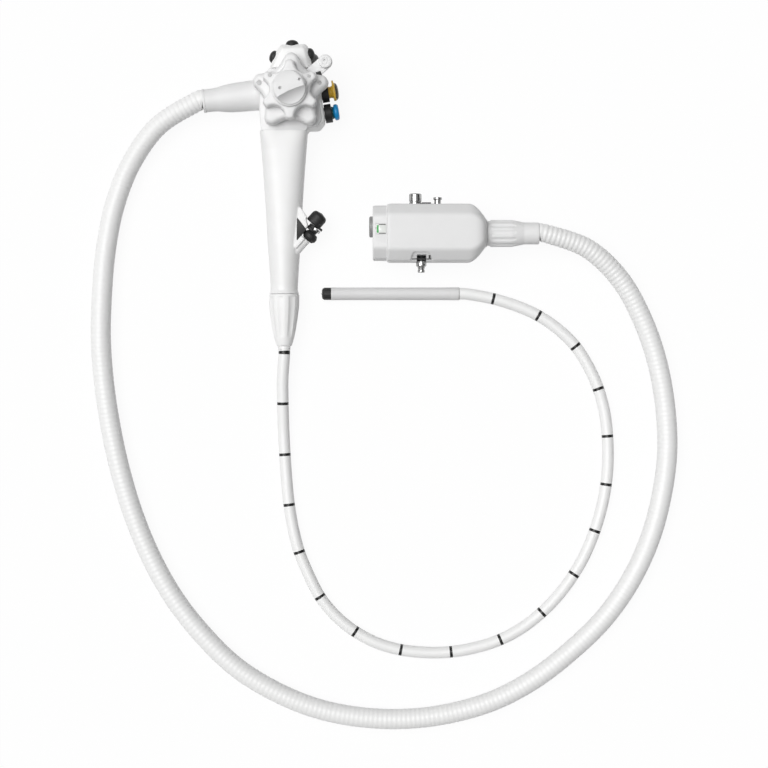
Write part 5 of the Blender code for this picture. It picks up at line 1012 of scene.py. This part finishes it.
headBoot = {"root": bootSocket["root"], "end": bootSocket["end"], "wallX": -31.3, "tubeShare": 0.955,
            "radii": [(0, 15.2), (0.06, 15.2), (0.25, 14.8), (0.45, 14.4), (0.55, 14.0), (0.65, 13.2),
                      (0.75, 11.8),
                      (0.83, 11.35), (0.955, 11.3)]}


def makeHeadBoot(spec):
    direction = Vector(spec["end"]) - Vector(spec["root"])
    length = direction.length
    profile = [(10, 0)]
    for k in range(61):
        share = k / 60 * spec["tubeShare"]
        soft = sum(straight(spec["radii"], min(max(share + d, 0), spec["tubeShare"]))
                   for d in (-0.03, -0.015, 0, 0.015, 0.03)) / 5
        profile.append((soft, share * length))
    profile += roundLine([(11.3, length - 2.7), (11.7, length - 2.3, 0.3), (11.7, length, 0.5), (10, length)],
                         0.3, 4, False)
    mesh = turned(lathe(profile, 72, True), spec["root"], direction)
    trim = brick((spec["wallX"], -30, -5), (spec["wallX"] + 20, 30, 50))
    addPiece("headCordBoot", worked(mesh, [trim]), siliconeGrey, ["head_cord_boot"], sharp=45)


bootPiece = makeBoots(insertionBoot, connectorBoot)
makeHeadBoot(headBoot)
print("boots done")


# bending section: the skin is nine sleeves, each crossing one hinge

bending = {"y": -195.3, "z": 6.4, "hinges": [152.2, 139.0, 125.8, 112.6, 99.4, 86.2, 73.0, 59.8, 46.6],
           "startX": 157, "endX": 41.4, "outer": 6.33, "inner": 5.82, "cuffX": 166,
           "swell": 0.07, "swellFrom": 148.6, "swellTo": 44, "swellRun": 0.8}  # over its two seats


def makeBending(spec):
    bodies = ["endoscope"] + [f"vertebra_{k}" for k in range(1, 9)] + ["distal_end"]
    between = [(a + b) / 2 for a, b in zip(spec["hinges"], spec["hinges"][1:])]
    cuts = [spec["startX"]] + between + [spec["endX"]]
    made = []
    for k in range(9):
        high, low = cuts[k], cuts[k + 1]
        count = max(8, round((high - low) / 0.9))
        outer = []
        for step in range(count + 1):
            x = high + (low - high) * step / count
            past = (x - spec["swellFrom"], spec["swellTo"] - x)
            climb = sum(min(1, max(0, p / spec["swellRun"])) for p in past)
            outer.append((spec["outer"] - spec["swell"] * (1 - climb), high - x))
        inner = [(spec["inner"], d) for r, d in reversed(outer)]
        sleeve = turned(lathe(outer + inner, 48, True), (high, spec["y"], spec["z"]), (-1, 0, 0))
        piece = addPiece(f"bendingSkin{k + 1}", sleeve, bendingRubber, body=bodies[k + 1],
                         slotName="pale_elastomer", sharp=60, ride=False)
        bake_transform(piece)
        made.append(piece)
    base = lathe(roundLine([(6.4, 0, 0.3), (6.4, 9), (5.8, 9), (5.8, 0, 0.2)], 0.2, 4), 56, True)
    made.append(addPiece("bendingCuff", turned(base, (spec["cuffX"], spec["y"], spec["z"]), (-1, 0, 0)),
                         bendingRubber, ["rubber_cuff_base"]))
    bond = lathe(roundLine([(6.15, -0.28), (6.3, 0.25), (5.9, 0.3), (5.76, -0.28)], 0.05, 2), 56, True)
    made.append(addPiece("bondLine", turned(bond, (spec["cuffX"], spec["y"], spec["z"]), (-1, 0, 0)),
                         blackRubber, slotName="black_rubber"))
    end = lathe(roundLine([(6.4, 0), (6.4, 2.7, 0.3), (6.23, 2.7, 0.05), (6.23, 1.75, 0.1), (5.8, 1.7, 0.1),
                           (5.8, 0)],
                          0.1, 4), 56, True)
    made.append(addPiece("tipCuff", turned(end, (spec["endX"], spec["y"], spec["z"]), (-1, 0, 0)),
                         bendingRubber, ["rubber_cuff_tip"], body="distal_end"))
    return made


bendingPieces = makeBending(bending)
print("bending section done")


# light source connector

connector = {
    "y": -136.8, "z": 28.1, "front": 94.3, "length": 98.5, "width": 56.2, "chamfer": 10.7, "shoulder": 18.8,
    "neck": 26, "ringWidth": 52.6, "ringStart": 80.3, "ringEnd": 94.0, "plateWidth": 44, "plateX": 81.8,
    "plugAside": 6.4, "windowAside": 2.5, "windowSeat": (83.4, 93.65), "seatHalf": 5.3,
    "scoop": [(115.6, -2), (141.6, -2), (134.8, 8.6, 3), (119.6, 8.6, 3)], "scoopDepth": 2.6,
    "pit": [(123.3, -2), (132.7, -2), (132.7, 6.2, 1), (123.3, 6.2, 1)], "pitFloor": 22.3, "over": 62}


def octagonLoop(spec, x, width, radius=6.5, flatten=1.0):
    chamfer = spec["chamfer"] * width / spec["width"]
    half, flat = width / 2, width / 2 - chamfer
    corners = [(half, -flat), (half, flat), (flat, half), (-flat, half), (-half, flat), (-half, -flat),
               (-flat, -half), (flat, -half)]
    return [Vector((x, spec["y"] + p.x, spec["z"] + p.y * flatten)) for p in roundLine(corners, radius, 7)]


def makeConnector(spec):
    end = spec["front"] + spec["length"]
    loops = []
    for k in range(9):
        a = math.radians(11.25 * k)
        loops.append(octagonLoop(spec, spec["front"] + 3.4 * (1 - math.cos(a)),
                                 spec["width"] - 3.2 * (1 - math.sin(a))))
    start = end - spec["shoulder"]
    for k in range(17):
        a = math.radians(90) * k / 16
        share = math.sin(a)
        width = spec["neck"] + (spec["width"] - spec["neck"]) * max(0, 1 - share ** 1.9) ** 1.1
        full = spec["neck"] + (spec["width"] - spec["neck"]) * (1 - share ** 5) ** 0.4
        loops.append(octagonLoop(spec, start + spec["shoulder"] * 0.95 * share, width, 6.5 + 3 * share,
                                 full / width))
    loops.append(octagonLoop(spec, end, spec["neck"], 9.5))
    side = spec["y"] - spec["width"] / 2
    # shallow scoop along the chamfer over the air nipple, with a pit round the nipple's socket
    scoop, pit = [roundLine([(x, side + y, *r) for x, y, *r in corners], 0.1, steps)
                  for corners, steps in ((spec["scoop"], 5), (spec["pit"], 4))]
    rise = spec["z"] + spec["width"] / 2 - spec["chamfer"] - side
    recess = skin([[Vector((*p.xy, p.y + rise - spec["scoopDepth"])) for p in scoop],
                   [Vector((*p.xy, spec["over"])) for p in scoop]])
    pit = slab(pit, spec["pitFloor"], spec["over"])
    shell = worked(worked(skin(loops), [recess]), [pit])
    made = [addPiece("connectorShell", shell, mouldedGrey, ["connector_housing"], sharp=32)]
    ringLoops = [octagonLoop(spec, spec["ringStart"], spec["ringWidth"] - 2.4),
                 octagonLoop(spec, spec["ringStart"] + 0.4, spec["ringWidth"] - 1.0),
                 octagonLoop(spec, spec["ringStart"] + 1.3, spec["ringWidth"]),
                 octagonLoop(spec, spec["ringEnd"], spec["ringWidth"])]
    pocket = skin([octagonLoop(spec, spec["ringStart"] - 1, spec["plateWidth"] + 0.6),
                   octagonLoop(spec, spec["plateX"] + 3.3, spec["plateWidth"] + 0.6)])
    y, z = spec["y"] + spec["windowAside"], spec["z"] + spec["ringWidth"] / 2
    (x0, x1), half = spec["windowSeat"], spec["seatHalf"]
    seat = brick((x0, y - half, z - 1), (x1, y + half, z + 1))
    made.append(addPiece("connectorRing", worked(skin(ringLoops), [pocket, seat]), mouldedGrey,
                         ["connector_front_ring"], sharp=30))
    plate = skin([octagonLoop(spec, spec["plateX"], spec["plateWidth"] - 1.2),
                  octagonLoop(spec, spec["plateX"] + 0.6, spec["plateWidth"]),
                  octagonLoop(spec, spec["plateX"] + 3, spec["plateWidth"])])
    made.append(addPiece("connectorPlate", plate, mouldedWhite, ["connector_face_plate"], sharp=30))
    side = roundLine([(10.4, 0.3, 0.2), (10.4, 5.1, 1.8), (7.2, 5.1, 0.2), (6.9, 4.6, 0.2), (0, 4.6)], 0.2, 5,
                     False)
    plug = turned(lathe([(0, 0.3)] + side, 64), (spec["plateX"], spec["y"] + spec["plugAside"], spec["z"]),
                  (-1, 0, 0))
    made.append(addPiece("connectorPlug", plug, plugGrey, ["connector_plug"]))
    return made


window = {"x": 83.75, "length": 9.6, "width": 9.9, "top": 54.3, "bar": 1.9}


def makeWindow(spec):
    y = connector["y"] + connector["windowAside"]
    x0, x1, half = spec["x"], spec["x"] + spec["length"], spec["width"] / 2
    pane = slab(roundLine([(x0, y - half), (x1, y - half), (x1, y + half), (x0, y + half)], 0.6, 4),
                spec["top"] - 0.7, spec["top"], 0.15, 0, 2)
    made = [addPiece("windowPane", pane, windowWhite, ["status_window"])]
    bar = slab(roundLine([(x0 + 0.5, y - half + 1.2), (x0 + 0.5 + spec["bar"], y - half + 1.2),
                          (x0 + 0.5 + spec["bar"], y + half - 1.2), (x0 + 0.5, y + half - 1.2)], 0.3, 3),
               spec["top"] - 0.05, spec["top"] + 0.06)
    made.append(addPiece("windowBar", bar, windowGreen, slotName="lens_glass"))
    lines = joined(*[brick((x0 + 2.6, y + s * (half - 0.75) - 0.35, spec["top"] - 0.05),
                           (x1 - 0.4, y + s * (half - 0.75) + 0.35, spec["top"] + 0.06)) for s in (-1, 1)])
    made.append(addPiece("windowLines", lines, blackRubber, slotName="black_rubber"))
    return made


nipples = {
    "plateX": 133.0,
    "pieces": [  # name, node, place along X, side, bore, outline, points per corner, sides
        ("suctionNipple", "suction_nipple", 122.2, 1, [(0, 2), (3.4, 2), (3.4, 10.4)],
         [(3.7, 11), (6, 11, 1.6), (6, 3.4, 0.2), (5.3, 3.2, 0.2), (5.3, 2.4, 0.2), (6, 2.2, 0.2), (6, 0.3)],
         5, 56),
        ("waterNipple", "water_nipple", 144.1, 1, [(0, 2), (1.8, 2), (1.8, 7.2)],
         [(2.0, 7.4), (4.2, 7.4, 0.5), (4.2, 5.4, 0.5), (3.2, 5.0, 0.3), (3.2, 0.3)], 4, 48),
        ("airNipple", "air_nipple", 128, -1, [(0, 2), (2.2, 2), (2.2, 20.2)],
         [(2.4, 20.4), (3.4, 20.4, 0.5), (3.4, 18.2, 0.3), (2.9, 17.8, 0.3), (3.8, 14.3, 0.3), (5, 14.3, 0.5),
          (5, 9, 0.5), (3.8, 9, 0.3), (3.8, 0.3)], 4, 48)]}


def makeNipples(spec):
    top = connector["y"] + connector["width"] / 2
    back = connector["y"] - connector["width"] / 2 + 10
    z = connector["z"]
    placeOf = {name: x for name, node, x, *rest in spec["pieces"]}
    made = []
    for name, node, x, way, bore, outline, steps, sides in spec["pieces"]:
        mesh = lathe(bore + roundLine(outline, 0.3, steps, False) + [(0, 0.3)], sides)
        mesh = turned(mesh, (x, top if way > 0 else back, z), (0, way, 0))
        made.append(addPiece(name, mesh, turnedSteel, [node]))
    # black rubber: socket at the air nipple's foot, strap of its cap in the pocket, and the gaskets
    socket = lathe([(3.85, 3.9), (4.4, 3.9), (4.4, 8.2), (4.1, 8.9), (3.85, 8.9)], 48, True)
    strap = joined(brick((118.4, back - 8.5, 42.6), (137.6, back - 7.6, 45.4)),
                   brick((134.9, back - 7.5, 44.0), (136.6, back - 4.4, 48.6)))
    gasket = lathe([(6.05, -1.2), (8.4, -1.2), (8.4, 0.35), (6.05, 0.35)], 48, True)
    plate = slab(roundLine([(-4.7, -6), (4.7, -6), (4.7, 6), (-4.7, 6)], 1.5, 4), 0, 2.4, 0.3, 0, 2)
    plate.transform(Matrix.Translation((spec["plateX"], top - 0.3, z))
                    @ Matrix.Rotation(math.radians(-90), 4, "X"))
    socket = turned(socket, (placeOf["airNipple"], back, z), (0, -1, 0))
    gasket = turned(gasket, (placeOf["suctionNipple"], top, z), (0, 1, 0))
    for name, mesh in (("airSocket", socket), ("capStrap", strap), ("suctionGasket", gasket),
                       ("sideGasket", plate)):
        made.append(addPiece(name, mesh, blackRubber, slotName="black_rubber"))
    return made


connectorPieces = makeConnector(connector) + makeWindow(window) + makeNipples(nipples) + [bootPiece]
print("connector done")


# CAD nodes that stay: each gets the finish of its material slot

slotFinish = {
    "white_moulded_plastic": mouldedWhite, "pale_elastomer": bendingRubber, "light_grey_plastic": mouldedGrey,
    "black_rubber": blackRubber, "yellow_plastic": yellowAcetal, "blue_plastic": blueAcetal,
    "stainless_steel": turnedSteel, "lens_glass": coatedGlass}
own = {"chassis_plate": brushedSteel, "distal_body": brushedSteel}
for part in frame["record"]["subparts"]:
    node = frame["nodes"][part["node"]]
    finish = own.get(part["node"], slotFinish[part["material_slot"]])
    node.data.materials.clear()
    node.data.materials.append(finish)


# table and light

table = {"size": 4000, "colour": "#dcdcdc", "glow": 0.93, "shown": "#484848"}
ground = bpy.data.meshes.new("table")
half = table["size"] / 2 * mm
ground.from_pydata([(-half, -half, -0.0002), (half, -half, -0.0002), (half, half, -0.0002),
                    (-half, half, -0.0002)], [],
                   [(0, 1, 2, 3)])
floor = bpy.data.objects.new("table", ground)
scene.collection.objects.link(floor)
# white paper: seen directly or in metal and glass it is white, otherwise it is plain paper that takes shadow
paper = bpy.data.materials.new("whitePaper")
paper.use_nodes = True
tree = paper.node_tree
tree.nodes.clear()
path = addNode(tree, "LightPath")
seen = addNode(tree, "Math", None, {0: path.outputs["Is Camera Ray"], 1: path.outputs["Is Glossy Ray"]},
               operation="MAXIMUM")
seen = addNode(tree, "Math", None, {0: seen.outputs[0], 1: path.outputs["Is Transmission Ray"]},
               operation="MAXIMUM")
fibres = addNode(tree, "TexNoise", {"Scale": 900.0, "Detail": 2.0})
relief = addNode(tree, "Bump", {"Strength": 0.2, "Distance": 0.00005}, {"Height": fibres.outputs["Fac"]})
matt = addNode(tree, "BsdfDiffuse", {"Color": linear(table["colour"])}, {"Normal": relief.outputs["Normal"]})
veil = addNode(tree, "Emission", {"Color": (1, 1, 1, 1), "Strength": table["glow"]})
grey = addNode(tree, "BsdfDiffuse", {"Color": linear(table["shown"])})
shown = addNode(tree, "AddShader", None, {0: veil.outputs[0], 1: grey.outputs[0]})
both = addNode(tree, "MixShader", None, {0: seen.outputs[0], 1: matt.outputs[0], 2: shown.outputs[0]})
addNode(tree, "OutputMaterial", None, {"Surface": both.outputs[0]})
ground.materials.append(paper)

studio = {"horizon": 0.03, "zenith": 0.70, "falloff": 2.2, "key": 2.1, "keyFrom": (-0.36, 0.13, 0.92),
          "keySoftness": 45,
          "zenithAt": (-0.25, 0.0, 0.97), "rim": 0.02}
world = bpy.data.worlds.new("studio")
scene.world = world
world.use_nodes = True
tree = world.node_tree
tree.nodes.clear()
place = addNode(tree, "TexCoord")
across = addNode(tree, "VectorMath", {1: studio["zenithAt"]}, {0: place.outputs["Generated"]},
                 operation="DOT_PRODUCT")
height = addNode(tree, "Math", {1: 0.0}, {0: across.outputs["Value"]}, operation="MAXIMUM")
curve = addNode(tree, "Math", {1: studio["falloff"]}, {0: height.outputs[0]}, operation="POWER")
level = addNode(tree, "MapRange", {"From Min": 0.0, "From Max": 1.0, "To Min": studio["horizon"],
                                   "To Max": studio["zenith"]}, {"Value": curve.outputs[0]})
sky = addNode(tree, "Background", {"Color": (1, 1, 1, 1)}, {"Strength": level.outputs["Result"]})
# beyond the table's edge the eye meets white paper again, not the dark gap under the tent
backdrop = addNode(tree, "Background", {"Color": (1, 1, 1, 1), "Strength": 1.0})
direct = addNode(tree, "LightPath")
mirrored = addNode(tree, "Math", None, {0: direct.outputs["Is Glossy Ray"],
                                        1: direct.outputs["Is Transmission Ray"]},
                   operation="MAXIMUM")
# metal and glass see the paper as well, but only below the tent's rim
way = addNode(tree, "SeparateXYZ", None, {"Vector": place.outputs["Generated"]})
low = addNode(tree, "Math", {1: studio["rim"]}, {0: way.outputs["Z"]}, operation="LESS_THAN")
mirrored = addNode(tree, "Math", None, {0: mirrored.outputs[0], 1: low.outputs[0]}, operation="MULTIPLY")
direct = addNode(tree, "Math", None, {0: direct.outputs["Is Camera Ray"], 1: mirrored.outputs[0]},
                 operation="MAXIMUM")
seenSky = addNode(tree, "MixShader", None, {0: direct.outputs[0], 1: sky.outputs[0], 2: backdrop.outputs[0]})
addNode(tree, "OutputWorld", None, {"Surface": seenSky.outputs[0]})
keyLight = bpy.data.lights.new("softbox", "SUN")
keyLight.energy = studio["key"]
keyLight.angle = math.radians(studio["keySoftness"])
key = bpy.data.objects.new("softbox", keyLight)
key.rotation_euler = Vector(studio["keyFrom"]).to_track_quat("Z", "Y").to_euler()
scene.collection.objects.link(key)
scene.view_settings.view_transform = "Standard"
print("light set")
